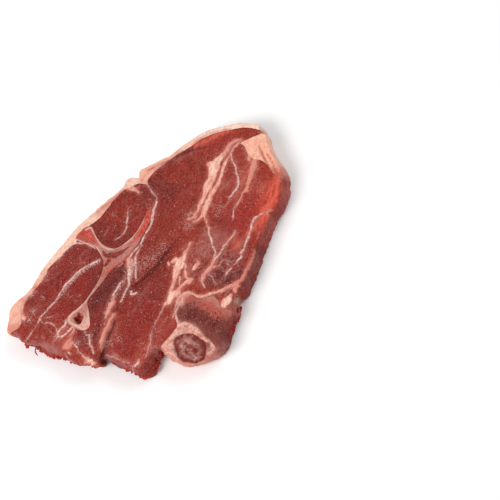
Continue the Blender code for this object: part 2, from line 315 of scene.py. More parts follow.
def blend(low, high, value):
    """0 below low, 1 above high and a soft step between them."""
    t = np.clip((value - low) / (high - low), 0, 1)
    return t * t * (3 - 2 * t)


print("noise along the rim, least and most:", np.round(np.percentile(layered(outline, 7), (0, 100)), 2))

# %% [markdown]
# ## The upper face
# The face is nearly flat, as a saw leaves it. Each muscle then swells a little, because its fibres shrink
# back less in the middle than at the skins that bind it. Where two muscles part, the face folds down. The
# folds below have a sharp side and a slow side, as one muscle slides over the other.

# %% Relief of the face
SWELLS = [(-55, 34, 17, 0.7), (2, 42, 17, 0.8), (-32, -10, 22, 0.6), (42, 38, 18, 0.9),
          (70, 22, 15, 0.6), (20, -20, 14, 0.7), (-12, 14, 14, 0.8), (-68, 2, 12, -0.6),
          (84, 12, 12, -0.7)]        # x, y, radius, rise
FOLDS = [  # points with a depth, then the width of the left and of the right side
    ([(13, 10, 0.3), (9, 9.4, 1.2), (4, 8.4, 2.2), (-5, 5.6, 2.6), (-15, 4.4, 2.4), (-22, 4.3, 1.6),
      (-27, 4.6, 0.4)], 3.4, 0.9),
    ([(-71, -21.5, 4), (-67.5, -18.2, 4), (-64.4, -15.6, 3.8), (-57.5, -10.6, 3), (-50, -6.6, 2),
      (-42, -3.6, 0.5)], 1.3, 2.2),
    ([(25, 51, 0.4), (28, 45, 1.2), (30, 40, 1.2), (31, 34, 0.3)], 0.8, 5.5),
    ([(34, 54.2, 0.4), (43, 51.8, 1.3), (52, 50.6, 1.4), (60, 48.2, 1.4), (65, 45.6, 0.4)], 0.9, 1.6),
    ([(88.5, 25, 0.4), (86.8, 18, 1.2), (85, 12, 1.2), (83, 8, 0.4)], 1.0, 1.4),
    ([(87.3, 16, 0.3), (86, 10, 1.2), (84.4, 6, 1.2), (83, 3, 0.4)], 1.2, 1.0),
    ([(-61, -14, 0.5), (-59, -20, 0.9), (-56, -27, 0.8), (-52, -31, 0.3)], 1.6, 1.0)]
ROUNDING = 0.7                       # radius of the edge between the face and the walls


def sink(places, folds):
    """How far folds lower the places: each fold falls off at its own rate on either side."""
    down = np.zeros(len(places))
    for line, left, right in folds:
        path = smooth(line, 1.0)
        dist, where, side = near(places, path, 3 * max(left, right))
        depth = np.interp(where, np.arange(len(path)), path[:, 2])
        down = np.maximum(down, depth * np.exp(-(dist / np.where(side > 0, left, right)) ** 2))
    return down


def swell(places):
    return sum(rise * np.exp(-((places - (x, y)) ** 2).sum(axis=1) / radius ** 2)
               for x, y, radius, rise in SWELLS)


print("the face rises", round(float(swell(outline).max()), 2), "mm and sinks",
      round(float(sink(outline, FOLDS).max()), 2), "mm at most along the rim")

# %% [markdown]
# ## Walls
# The walls are skin and rounded muscle, not a cut. They lean with the slice, swell a little at half height
# and wander by about a millimetre. A point of the plan and a depth (0 at the face, 1 at the table) give a
# point in space. Places near the rim move with it and places further in stay, so one rule serves the face,
# the walls and the foot, and the pieces always meet.

# %% From the plan to space
TUCKS = [(-70, -15, 9, 3.6), (-22, -56, 15, 1.5), (12, -42, 9, 1.5), (95, 22, 11, 3.0),
         (-84, 7, 9, -3.6), (-52, -34, 6, -3.4), (-38, -32, 7, -2.0), (-60, -20, 6, -3.4)]
# x, y, radius and how far the foot is tucked in there, or pushed out where the number is negative
BULGE = 0.6
FOOT_ROUNDING = 1.6
DEPTHS = np.array((0, 0.06, 0.13, 0.21, 0.29, 0.37, 0.45, 0.53, 0.61, 0.69, 0.77, 0.85, 0.92, 0.97, 1))

along = np.roll(outline, -4, axis=0) - np.roll(outline, 4, axis=0)
rim_normal = np.column_stack((-along[:, 1], along[:, 0])) / np.linalg.norm(along, axis=1)[:, None]


def rim_place(places):
    """Distance to the rim, how soft the tissue of the rim is there, and the rim's outward normal."""
    dist, where, _ = near(places, ring(outline), 14)
    index = np.round(where).astype(int) % len(outline)
    fatty = (places[:, 1] > 27) | (places[:, 0] > 84)
    torn = 1 + 0.9 * (places[:, 0] < -60)
    return dist, where * RIM_STEP, rim_normal[index], np.where(fatty, 0.35, torn)


def spread_at(places, normal):
    spread = RIB_SPREAD * np.clip(normal @ RIB_SIDE, 0, 1) ** 2
    for x, y, radius, depth in TUCKS:
        spread -= depth * np.exp(-((places - (x, y)) ** 2).sum(axis=1) / radius ** 2)
    return spread


def in_space(places, depth, top):
    """Millimetre positions of plan places at depths, under a face of height top."""
    dist, arc, normal, softness = rim_place(places)
    z = top * (1 - depth)
    round_off = 1 - np.sqrt(1 - (1 - np.clip(z / FOOT_ROUNDING, 0, 1)) ** 2)
    rough = np.column_stack((arc, z * 0.8))
    wander = 0.7 * grain(rough, 7, 3) + 0.55 * grain(rough, 2.6, 4) + 0.4 * grain(rough, 1.2, 5)
    reach = (spread_at(places, normal) * depth + BULGE * 4 * depth * (1 - depth)
             - FOOT_ROUNDING * round_off + softness * wander)
    hold = np.exp(-(dist / 5) ** 2)
    flat = places + SLANT * np.asarray(depth)[:, None] + normal * (reach * hold)[:, None]
    return np.column_stack((flat, z))


def face_height(places):
    dist = rim_place(places)[0]
    drop = ROUNDING * (1 - np.sqrt(1 - (1 - np.clip(dist / ROUNDING, 0, 1)) ** 2))
    return THICKNESS + swell(places) - sink(places, FOLDS) - drop


print("rim normals:", len(rim_normal))

# %% [markdown]
# ## Closed meshes
# A piece is a lid, walls and a floor. The lid is its share of the upper triangulation. Under each border
# edge of the lid hang wall faces, row by row. The floor is its share of the lower triangulation, turned to
# face down. Each mesh must close: every edge has exactly two faces, and a count proves it.

# %% Build a piece
class Piece:
    """The points of one piece: plan place, depth under the face and the faces that join them."""

    def __init__(self, number):
        places, faces, owner = upper
        mine = faces[owner == number]
        keep, mine = np.unique(mine, return_inverse=True)
        mine = mine.reshape(-1, 3)
        self.places, self.faces = places[keep], mine.tolist()
        self.depth = np.zeros(len(keep))
        sides = np.vstack((mine[:, (0, 1)], mine[:, (1, 2)], mine[:, (2, 0)])).tolist()
        known = {tuple(side) for side in sides}
        open_sides = [side for side in sides if (side[1], side[0]) not in known]
        lip = sorted({i for side in open_sides for i in side})
        rows = {i: [i] + [len(keep) + k * len(lip) + n for k in range(len(DEPTHS) - 1)]
                for n, i in enumerate(lip)}
        for a, b in open_sides:
            for k in range(len(DEPTHS) - 1):
                self.faces.append((rows[a][k], rows[a][k + 1], rows[b][k + 1], rows[b][k]))
        for depth in DEPTHS[1:]:
            self.add(self.places[lip], depth)
        foot_of = {tuple(np.round(self.places[i], 3)): rows[i][-1] for i in lip}
        places, faces, owner = lower
        mine = faces[owner == number]
        keep, mine = np.unique(mine, return_inverse=True)
        number_of, fresh = [], []
        for place in places[keep]:
            known_foot = foot_of.get(tuple(np.round(place, 3)))
            number_of.append(len(self.places) + len(fresh) if known_foot is None else known_foot)
            if known_foot is None:
                fresh.append(place)
        self.add(np.array(fresh), 1.0)
        self.faces += np.array(number_of)[mine.reshape(-1, 3)][:, ::-1].tolist()

    def add(self, places, depth):
        self.places = np.vstack((self.places, places))
        self.depth = np.append(self.depth, np.full(len(places), depth))

    def open_edges(self):
        count = {}
        for face in self.faces:
            for a, b in zip(face, face[1:] + face[:1]):
                key = (min(a, b), max(a, b))
                count[key] = count.get(key, 0) + 1
        return sum(n != 2 for n in count.values())


pieces = {name: Piece(number) for number, name in enumerate(PIECES)}
for name, piece in pieces.items():
    print(name, len(piece.places), "points,", len(piece.faces), "faces,", piece.open_edges(), "open edges")

# %% [markdown]
# ## Colours
# Colours are written as they look on a screen (sRGB) and turned to linear light by one function. A short
# list of named tones is all the chop needs. Each tone is dabbed on the plan where that tone of muscle, fat
# or bone lies, and every place takes a mix of the dabs near it.

# %% Tones
TONES = {
    # lean, from the dark old muscle by the blade to the bright fresh one on the rib side
    "maroon": "#661f1c", "wine": "#7e2824", "brown red": "#863e3a", "crimson": "#8c3432",
    "red": "#903c34", "brick": "#9c4138",
    "rose": "#a3524a", "mauve": "#8a534e", "dusty pink": "#a8625a", "scarlet": "#952a23", "coral": "#d45e4e",
    # fat, from the thick cream layers to thin fat that the meat shines through
    "white fat": "#ffe0cc", "warm fat": "#ffc2a6", "cream": "#fbd0ba", "peach": "#f2b9a3",
    "rosy fat": "#e0a595", "salmon": "#dc907d", "stained fat": "#cf7867",
    # bone, from the hard shell to the wet sponge
    "pale bone": "#dba495", "pink bone": "#bd7e72", "grey bone": "#a97570", "red bone": "#b8574b",
    "brown sponge": "#83403a", "dark sponge": "#702a25"}


def linear(colour):
    srgb = np.array([int(colour[i:i + 2], 16) / 255 for i in (1, 3, 5)])
    return np.where(srgb <= 0.04045, srgb / 12.92, ((srgb + 0.055) / 1.055) ** 2.4)


print("tones:", len(TONES), "of which maroon in linear light is", np.round(linear(TONES["maroon"]), 3))


# %% Dabs of tone
def paint(places, dabs):
    total = np.zeros((len(places), 3))
    weights = np.zeros(len(places))
    for tone, points in dabs.items():
        for point in points:
            weight = 1 / (((places - point) ** 2).sum(axis=1) + 4) ** 2
            total += weight[:, None] * linear(TONES[tone])
            weights += weight
    return total / weights[:, None]


LEAN_DABS = {
    "maroon": [(-42, 12), (-28, 15), (17, -27), (-32, 12), (-60, -2), (12, -22)],
    "wine": [(-66, 0), (-63, -5), (-12, 37), (-10, 42), (27, 42), (27, 36), (-55, -2), (-44, 4), (10, -22),
             (27, -15)],
    "brown red": [(-55, 37), (-70, 34), (-42, 42), (-35, -3), (-5, 12), (-20, 8), (-15, -6), (-58, 24)],
    "crimson": [(-67, -2), (-30, -12), (-45, -14), (-50, -20), (17, -21), (8, -12), (-62, 22), (-48, 26)],
    "red": [(-86, 24), (-82, 16), (-5, 45), (40, 42), (48, 35), (30, 26), (10, 20), (-66, -8)],
    "brick": [(75, 40), (60, 4), (28, -15), (-25, -25), (45, 12), (15, 4)],
    "rose": [(-45, -28), (57, 17), (75, 25), (72, 8), (5, -20), (74, 30), (-72, 6), (-74, -4)],
    "dusty pink": [(28, -4), (20, -4), (-50, -5)],
    "scarlet": [(50, -2), (52, 3)],
    # the coral dabs at the rib corner are partly a painted sheen of wet meat
    "coral": [(65, -8), (78, -3)]}
FAT_DABS = {
    "cream": [(60, 32), (7, -37), (-14, -15), (-70, -16), (3, -3)],
    "peach": [(38, 15), (50, 25), (-4, -9), (-80, 37)],
    "rosy fat": [(80, 34), (13, -15.5), (-8, -17.6), (-18, 18), (15, 51)],
    "salmon": [(72, 13.5), (16, -35), (-73, 3), (-57, -8), (-40, 4)],
    "stained fat": [(25, -32), (33, -28), (60, -14)]}
CAP_DABS = {
    "white fat": [(72, 52), (90, 42), (84, 50), (96, 35)],
    "warm fat": [(86, 24), (91, 28), (90, 13), (84, 31), (89, 8), (90, 22), (93, 17)],
    "cream": [(-22, 52.8), (17, 57.5), (60, 53), (-45, 48)],
    "peach": [(-80, 40), (-62, 43), (0, 55.4), (27, 56.5), (45, 54.5), (-86, 34)],
    "salmon": [(-91, 29)],
    "stained fat": [(85, 3)]}
print("dabs:", sum(len(points) for dabs in (LEAN_DABS, FAT_DABS, CAP_DABS) for points in dabs.values()))

# %% [markdown]
# ## Signed widths
# A strand is a line with a width at each point. For every place the strand tells how far inside its edge
# the place is: positive in the strand, zero on its edge, negative outside. Several strands together keep the
# greatest value, so they run into one another. The material later cuts this value at zero, after shaking it
# with fine noise, which gives a crisp but fibrous edge at any zoom.

# %% Strands and washes
FAR = -3.0                           # the value of places that are further than this from every strand


def strands(places, lines):
    inside = np.full(len(places), FAR)
    for line in lines:
        path = smooth(line, 0.8) if len(line) > 1 else np.array([line[0], line[0]], float)
        widths = np.maximum(path[:, 2], 0.15)
        dist, where, _ = near(places, path, widths.max() / 2 - FAR)
        inside = np.maximum(inside, np.interp(where, np.arange(len(path)), widths) / 2 - dist)
    return inside


def wash(places, lines):
    """0 to 1: soft stains along lines or round points, with the width or radius as the softness."""
    clear = np.ones(len(places))
    for strength, line in lines:
        path = smooth(line, 1.2) if len(line) > 1 else np.array([line[0], line[0]], float)
        dist, where, _ = near(places, path, 2.2 * path[:, 2].max())
        clear *= 1 - strength * np.exp(-(dist / np.interp(where, np.arange(len(path)), path[:, 2])) ** 2)
    return 1 - clear


across = np.column_stack((np.full(4, 5.0), np.arange(4.0)))
print("across a strand 2 mm wide:", strands(across, [[(0, 0, 2), (10, 0, 2)]]), "mm inside its edge")

# %% [markdown]
# ## Fat between the muscles
# Soft fat fills the seams where muscles meet. It is cream to salmon, and its edges fray into the muscle.
# Every line has points x, y and width in millimetres.

# %% Fat seams
FAT_SEAMS = [
    # the great seam from the rib corner, in two branches with lean between them
    [(84, 35.2, .8), (80, 36.2, 1.4), (76, 36.8, 2), (72, 35.6, 2.2), (68, 34.2, 2.4), (64, 33.2, 4.5),
     (60, 31.5, 6.5), (57, 29.8, 6), (54, 27.8, 4.5), (50, 25.8, 4.4), (46, 23, 3.6), (42, 20.8, 2.6),
     (38, 18.8, 2), (35, 17.4, 1.6), (32, 16, 1.2), (29.5, 15, 1)],
    [(58.5, 34.5, 3), (61, 33.5, 3.5)],
    [(84, 33.9, .6), (80, 33.9, .8), (76, 33.4, 1), (72.5, 32.2, 1.1), (69, 30.6, 1.2), (65, 28.6, 1.4),
     (61.5, 26.6, 1.6), (58, 24.3, 2.2), (54, 22.4, 2.4), (50, 20.8, 2.4), (46, 19.2, 2.6),
     (42, 17.3, 2.8), (39, 15.5, 3.2), (36, 14, 3.4), (34, 13, 2.6), (31.5, 12.3, 1.4), (29, 12.2, 1),
     (26.5, 13, .8)],
    [(34.5, 13, 2), (33.4, 9.8, 1.2), (32, 7, 1), (31, 4.5, 1)],
    [(25.5, 16.5, .5), (28.5, 15.3, .8), (30.5, 15.8, .8), (30, 17.5, .5), (28, 17.5, .5)],
    # the seam along the rib side, and the fat that lines the rib edge
    [(82, 21, 2.5), (79, 18.6, 3.2), (76.5, 16.4, 3.2), (74, 15, 2.6), (71, 12.7, 2.4), (68, 10.8, 2),
     (65.5, 9.3, 2), (63.5, 8, 2.4), (60.5, 7.7, 1.2), (58, 6.5, 1), (55, 5.3, .8), (52, 4.2, .6)],
    [(81, 28, 1), (79.5, 24, 1.4), (78, 21.5, 2)],
    [(41, -23.6, .8), (36.5, -26.2, 1.8), (33, -28, 2.2), (29, -30, 1.8), (25, -31.6, 2), (20, -33.2, 2.2),
     (16, -35, 2.4)],
    [(61, -11.2, .8), (64, -11.6, 1.2), (67, -12, .6)], [(71.5, -11.8, 1.2), (72.5, -12.6, .8)],
    # the island in the middle and its spur
    [(-19, -15, 1.5), (-15.5, -14.6, 3), (-12.5, -14, 4.2), (-9, -14.2, 4), (-6, -13.4, 2),
     (-2, -13.2, 2), (1, -13.5, 2.8), (3, -13.8, 1.2)],
    [(-12, -12, 1.8), (-10, -10.6, 1.5), (-7, -8.8, 1.6), (-4.5, -7.2, 2), (-2, -5.3, 3.2),
     (1, -3.6, 4.6), (4, -2.2, 5.8), (6, -1, 4.4), (8.5, -.3, 2.6), (11, .8, 1.4), (14, 2.4, .8),
     (16, 3.6, .7), (17, 4.3, .5)],
    [(0, 3, 1.2), (-.5, 1.5, .8)], [(2, 1.8, 2), (5, 2, 1.2), (4, .5, 2)],
    [(6, -4, 2), (5.5, -5.5, 1.2), (3, -7.8, 1), (2.3, -9.5, 1.2), (1.5, -11, 1), (2.5, -13.5, 1.2)],
    [(-5, -12.5, .8), (-3.5, -10.5, 1.2), (-1.5, -9.2, .8), (-1, -8, .5)],
    [(7, -9.5, .8), (9.5, -8.8, 2), (12, -8.5, 1.6), (12, -6.5, .8)],
    # the band over the backbone, on to the rib edge, and the cream knob in the bay
    [(-20, -24, .8), (-17.5, -21.5, 1), (-14, -19.3, 1.5), (-10.5, -17.8, 2), (-7.5, -17.4, 2.4),
     (-4.5, -18.6, 2), (-3, -20.7, 2), (-1.8, -23.3, 1.8), (.5, -25.4, 1.6), (4, -26.5, 1.6),
     (7.5, -28.4, 1.4), (11, -30, 1.5), (15, -31, 2), (19, -32.3, 2.2), (23, -32.2, 2), (27, -31, 1.6)],
    [(5.5, -37.5, 3), (7, -36.5, 4.5), (9.5, -36.2, 4.5), (12, -35.3, 2.4)],
    # between the small round muscles
    [(13, -15.3, 2), (9.5, -15.8, 2), (7, -17.5, 1.2)], [(16.8, -16.2, 1.8)],
    [(19, -13.6, 1.2), (16.5, -14.6, 1.5), (13, -15.3, 2)],
    # at the cap: the tab by the notch, the left end
    [(13, 56, 3), (14.5, 53.4, 3), (16, 51, 2.2), (15.8, 48.3, .8)],
    [(-82, 31, 2), (-80.5, 34.5, 1.4), (-77.5, 37.8, 1.4), (-74, 39.6, 1)],
    # round the ring of the blade bone and at the tip below it
    [(-65, 8, .8), (-69, 6, .8), (-73, 4, 1.6), (-75.5, 3.3, 1.4)], [(-73, 2.5, 3)],
    [(-70.3, -11, 1.4), (-70.8, -14, 3.2), (-70, -17.5, 4.4)],
    [(-62.8, -13.2, 1), (-60.5, -11, 2.6), (-57.5, -8, 3.4), (-55, -6.2, 3), (-51, -4.2, 2.2),
     (-47, -2.4, 1.6), (-43, -1, .9)],
    [(-48, 1, .8), (-45, 2.3, 2), (-42, 3.6, 2.2), (-40, 5, 2), (-38, 6.4, 1.2)],
    # the knot where the long thin seam ends
    [(-15, 19.2, 1.2), (-17, 18.4, 2.2), (-18.5, 16, 1.2)]]
print("fat seams:", len(FAT_SEAMS))

# %% [markdown]
# ## Skins and tendons
# Thin pale skins wrap each muscle, and tendons run inside. Cut across, they show as grey-pink threads. Some
# are clean white cords and some are barely there, so each line carries a paleness between 0 and 1.

# %% Skins and tendons round the blade bone
SKINS = [
    # the comb-like tendon of the long muscle, its branches and the lining by the bone
    (.9, [(-28.3, 30.3, 1.6), (-31, 31, 1.5), (-36, 32, 1.3), (-42, 32.3, 1.3), (-47, 31.5, 1.3),
          (-53, 30, 1)]),
    (.7, [(-53, 30, 1), (-58, 28.6, .8), (-63, 27.3, .8), (-68, 25.7, .9), (-73, 25, .8),
          (-76, 24.3, 1), (-80, 22.6, .6), (-84, 21.3, .5), (-88, 20.2, .4)]),
    (.5, [(-73, 23, .5), (-70, 21.8, .5), (-67, 20.8, .4)]),
    (.55, [(-75, 25, .5), (-75.5, 22, .5), (-73.5, 20, .6), (-72.3, 18, .9), (-72, 15.5, .8),
           (-73, 13, .9), (-73.5, 12, .8)]),
    (.4, [(-84, 17.5, .4), (-82.5, 16, .4), (-82, 13.5, .4)]),
    (.85, [(-47, 46.2, .6), (-43, 46.9, .9), (-38, 47.2, .7), (-34, 47.6, .9), (-31, 46.8, 1.2),
           (-29, 45.6, 1.2), (-27, 43.5, 1.2), (-26, 41, 1.2), (-25.3, 38, .6)]),
    (.7, [(-74, 39.3, .8), (-69, 39.4, .8), (-66.5, 38.5, .6)]),
    (.75, [(-61, 41.8, 1), (-58, 42.8, 1), (-55, 43.8, .7)]),
    (.35, [(-37, 36, .5), (-35.8, 38, .6), (-33, 39.5, .5), (-29.5, 40.5, .4)]),
    (.35, [(-36, 35.5, .4), (-34.5, 33.8, .4)]),
    # strands that leave the ring of the blade bone
    (.8, [(-64, 14.5, 1), (-68, 13, 1), (-72.5, 12, 1), (-75, 9.5, .8), (-80, 8, .5)]),
    (.85, [(-65, 9.5, 1.2), (-69, 8.9, 1.2), (-72.5, 8.8, 1.2), (-75.5, 10.5, 1), (-74, 11.5, .6)]),
    (.8, [(-71, 3, .8), (-70.5, 1, .7), (-70.5, -2, .9), (-71, -5, .9), (-70.8, -9, .9),
          (-69.8, -12, 1.2)]),
    (.7, [(-76.5, 0, .5), (-76.8, -3, .6), (-77.2, -6, .6), (-76.5, -9, .4)]),
    (.7, [(-75, -.5, .8), (-74.8, -2.5, .7)]),
    (.7, [(-61.3, 2.3, .7), (-61.8, 0, .8), (-60.3, -1.2, .5), (-62, -3.5, 1), (-64.5, -5.8, 1),
          (-65, -8, 1), (-66.3, -10.3, .6)]),
    # along the seam between the two lower muscles
    (.6, [(-55, -6, 1.4), (-51, -4, 1.2), (-47, -2.3, 1), (-45, -2, .8)]),
    (.9, [(-48, .5, .8), (-46, 2.2, 1), (-43, 3, 1.4), (-40, 5, 1.4), (-38.5, 5.6, 1)]),
    (.8, [(-36.3, 6.5, 1), (-35.5, 8.3, 1.2), (-33, 9.3, 1), (-30, 10.5, .9), (-27, 11.2, .8)]),
    (.5, [(-23, 19.4, .6), (-19, 19.9, .7)]),
    # the long thin seam across the middle and the strands of its frayed end
    (.8, [(23.3, 48.5, .8), (22.6, 45, .6), (21.9, 41.5, .7), (21.6, 39, .8), (20, 36.6, .9),
          (17.5, 34.8, 1.2), (14.5, 33, 1.6), (12, 31.2, 1.4), (9, 29.2, 1.2), (6, 27.3, 1.1),
          (3, 25.9, 1.1), (0, 24.7, 1.2), (-3, 23.2, 1.1), (-7, 21.6, 1.1), (-11, 20.8, 1.3),
          (-15, 19.6, 1.6)]),
    (.7, [(-4, 21.5, .5), (-7, 20, .6), (-10, 18.8, .8), (-13, 17, .8), (-16, 14, .8)]),
    (.8, [(-16.5, 19, 2.2), (-18.5, 16, 1.8), (-20.5, 13, 1.6), (-23, 10, 1.5), (-25.5, 7.5, 1.3),
          (-28.5, 5.5, 1.2), (-32, 4, 1), (-36, 2, .6)]),
    (.6, [(-14.5, 18, .8), (-17, 14.5, .8), (-20, 11.5, .7), (-22.5, 8.5, .6)]),
    (.7, [(-12, 17.5, 1), (-15.5, 13.5, .9), (-18.5, 9.5, .8), (-20, 7, .6)]),
    # inside the round muscle under the cap
    (.75, [(-12.8, 34, .6), (-10, 34, .8), (-6, 34.7, .7), (-4, 35.8, .9), (-2, 37.8, .8),
           (0, 39.2, .7), (2, 41.2, .6), (4, 43.6, .6), (6.5, 44.3, .4)]),
    (.4, [(2, 37.3, .5), (6.5, 36.2, .4)]), (.35, [(13, 41, .4), (15.3, 38.5, .4)]),
    (.3, [(-17, 40, .4), (-14, 41, .4), (-11.5, 42.5, .3)])]
print("skins and tendons round the blade bone:", len(SKINS))

# %% Skins and tendons of the lower and the rib side
SKINS += [
    # in the lower muscles
    (.9, [(-26.5, 3.3, .8), (-28.2, 2, 1.1), (-27, .8, 1.1), (-25.3, .4, .8)]),
    (.5, [(-19.5, -15.5, 1.2), (-24, -17.7, .9), (-28, -19.6, .9), (-33, -22.2, .8),
          (-38, -26, .8), (-42, -29, .8), (-46, -31.5, .6)]),
    (.45, [(-61.5, -15.5, 1.2), (-60.5, -18, 1.4), (-58, -22, 1), (-55, -28, .6)]),
    (.8, [(-55, -31, 1), (-51, -31.5, 1.3), (-50, -30.5, .8)]),
    # between the small round muscles
    (.7, [(41, -7.3, .8), (37, -8.7, .9), (33, -9.6, .9), (30, -9.8, 1.3), (27.5, -11, .9),
          (24, -12, .8), (21.3, -12.6, 1.5), (19, -13.6, 1.5), (16.5, -14.6, 1.6), (13, -15.3, 2),
          (9.5, -15.8, 2), (7, -17.5, 1.5), (5.2, -19.5, 1), (4.5, -22, .8)]),
    (.7, [(31, 4.5, 1), (29, 2.5, 1), (28, 1, 1.2), (27, -1.8, 1), (26, -4.2, .9),
          (24.5, -7, 1.2), (23.6, -9, .9), (22, -10.8, .9), (20, -12.5, 1)]),
    (.4, [(12, -17.5, .8), (11.8, -20, .8), (11, -22.5, 1.1), (11.3, -24.8, .9)]),
    (.4, [(18, -17, 1), (19.5, -17.6, .6), (22, -16.4, .7), (24.5, -17, .6), (25.3, -19.3, .7),
          (25.6, -21, .5)]),
    (.35, [(24.3, -18.8, .6), (23.6, -20.5, .8), (23.9, -22.8, .9)]),
    (.8, [(16, -25.8, .6), (18.5, -24, .7), (21, -23.4, 1.1), (24, -23, .8), (27.5, -23, 1),
          (30.5, -21.8, 1.2), (32, -22, 1), (33.5, -19.6, .9), (35.5, -18.8, 1.1), (38, -18.4, 1),
          (40.7, -17, 1.1), (44, -14.8, 1), (47.5, -12.7, 1), (50, -11, 1.1), (52.5, -9.5, 1.2),
          (55.5, -9, 1.2), (58.5, -9, 1), (60.5, -9.5, .8)]),
    (.35, [(21.3, -23.6, .8), (21.8, -25.6, .6), (24, -26.3, .6), (26.5, -26.8, .5)]),
    (.3, [(13.5, -25, .4), (13.3, -27, .5), (14, -28.2, .4)]),
    (.3, [(27.5, -24.5, .6), (27.4, -26.8, .5)]), (.3, [(29.5, -23.5, .6), (30.5, -25.8, .5)]),
    (.3, [(22.8, -27.5, .5), (21, -29.5, .7), (20, -30, .7)]),
    # the beaded cord in the rib muscle and fainter lines beside it
    (.8, [(72.3, 32, 1), (71, 30, 1), (70, 27.8, 1.3), (69.2, 25, 1.1), (68.5, 23, 1.2),
          (67.3, 21, 1), (66, 18.6, 1.5), (65, 16.5, 1), (63.5, 14.5, 1.1), (61.5, 13, 1.1),
          (59, 12, 1), (56, 11.4, .9), (54, 10.6, 1), (52, 11, .7)]),
    (.5, [(52, 11, .7), (50.5, 9, .8), (49, 8.2, 1.1), (47.5, 8.5, .6)]),
    (.3, [(51, 18.5, .4), (54, 17.3, .5), (59, 18, .4), (63, 18.5, .4)]),
    (.4, [(70, 17.5, .5), (68.5, 20, .5)]),
    (.5, [(55, 5.3, .9), (52, 4.2, .8), (49.5, 3.7, 1), (48, 2.2, 1.1), (46, 0, 1.2), (45, -1, .8)]),
    (.35, [(73, 12, .5), (76, 12.8, .4)]),
    (.25, [(55, 48, .3), (55, 44, .3), (56, 38, .3)]), (.2, [(38, 30, .3), (38.5, 24, .3)]),
    # along the rib edge and in the bay
    (.9, [(66, 33.6, .8), (70, 34.8, 1.2), (74, 35.9, 1.3), (78, 36.4, 1), (82, 35.6, .7)])]
print("skins and tendons in all:", len(SKINS))

# %% [markdown]
# ## Washes of tone
# Some places are stained: maroon depths, pink haze beside fat, the netted bounds of small bundles, bright
# red wet strips, coral rims, mauve skin seen through the lean and dull frost where the saw rubbed. Others
# are painted light: dark lines along the folds, in the crack under the cap and beside the step are painted
# shade, and the coral of the rib corner is partly a painted sheen of wet meat.
# Each wash has a strength and a line or a point with a softness.

# %% Dark, pink and netted places
# Dark washes: dark muscle, and painted shade in folds, creases, the crack under the cap and beside a step.
DARK_AND_SHADE = [
    # painted shadow where the lower muscle folds down under the fat seam
    (1, [(-65, -15, 1.3), (-61, -13, 1.3), (-56, -10, 1.3), (-50, -7, 1.1), (-45, -4.5, .8)]),
    # first: painted shade along the crease of the lower lobe
    (.5, [(-60.5, -17, 1), (-59.5, -23, .9), (-57, -30, .9)]), (.6, [(29, -15, 3)]), (.5, [(9, -12, 2)]),
    (.8, [(-50, 10, 4), (-42, 13, 5), (-36, 13.5, 5), (-30, 14, 5), (-22, 16, 3.5)]),
    (.5, [(-58, 6, 3)]), (.6, [(-58, -2, 5), (-52, 2, 5)]), (.4, [(-65, -3, 4)]),
    # painted shade beside the step by the long thin seam
    (.6, [(24.5, 50, 2.5), (26, 46, 3), (28, 41, 3), (29, 36, 3), (30, 33, 2)]),
    (.6, [(-26, 46, 2), (-24.5, 41, 1.6)]),
    (.45, [(-17, 47, 3), (-18, 40, 2.5), (-15, 33, 3), (-6, 31, 2.5)]),
    (.4, [(18, 45, 4), (19, 40, 3)]), (.35, [(-12, 53, 2), (-2, 52, 2), (8, 53, 2)]),
    # painted shade along the long fold
    (.65, [(13, 10, 1.6), (4, 8.6, 2.2), (-5, 6, 2.6), (-15, 4.8, 2.6), (-26, 5, 1.6)]),
    (.6, [(29, 9.5, 3.2)]), (.5, [(8.5, -20.5, 3.4)]), (.85, [(17, -21, 4)]), (.95, [(17, -27.5, 3.6)]),
    (.85, [(25.5, -28.5, 2.8)]), (.6, [(28, -19, 2.6)]), (.5, [(-1.5, -10, 1.8)]), (.6, [(5, -13, 2)]),
    # second: painted shade in the crack under the cap
    (.6, [(8, -5, 1.6)]), (.8, [(41, 52.6, .7), (47, 51.4, .9), (53, 50.4, 1.1), (57, 49, 1.2),
                                (60, 47.5, 1.3), (64, 45.8, .9)]),
    # second: a painted shadow at the left end of the cap
    (.7, [(-86, 29, 1.6)]), (.6, [(-79, 35, 1.4)]), (.4, [(66, 26, 3), (62, 20, 3)]),
    (.55, [(36, 6, 5), (40, 0, 5)]), (.5, [(-8, 24.6, .8), (-20, 21, .8)]),
    (.5, [(30, -29.8, 1.6), (40, -26, 2), (52, -20, 1.6), (62, -16, 1.4)])]
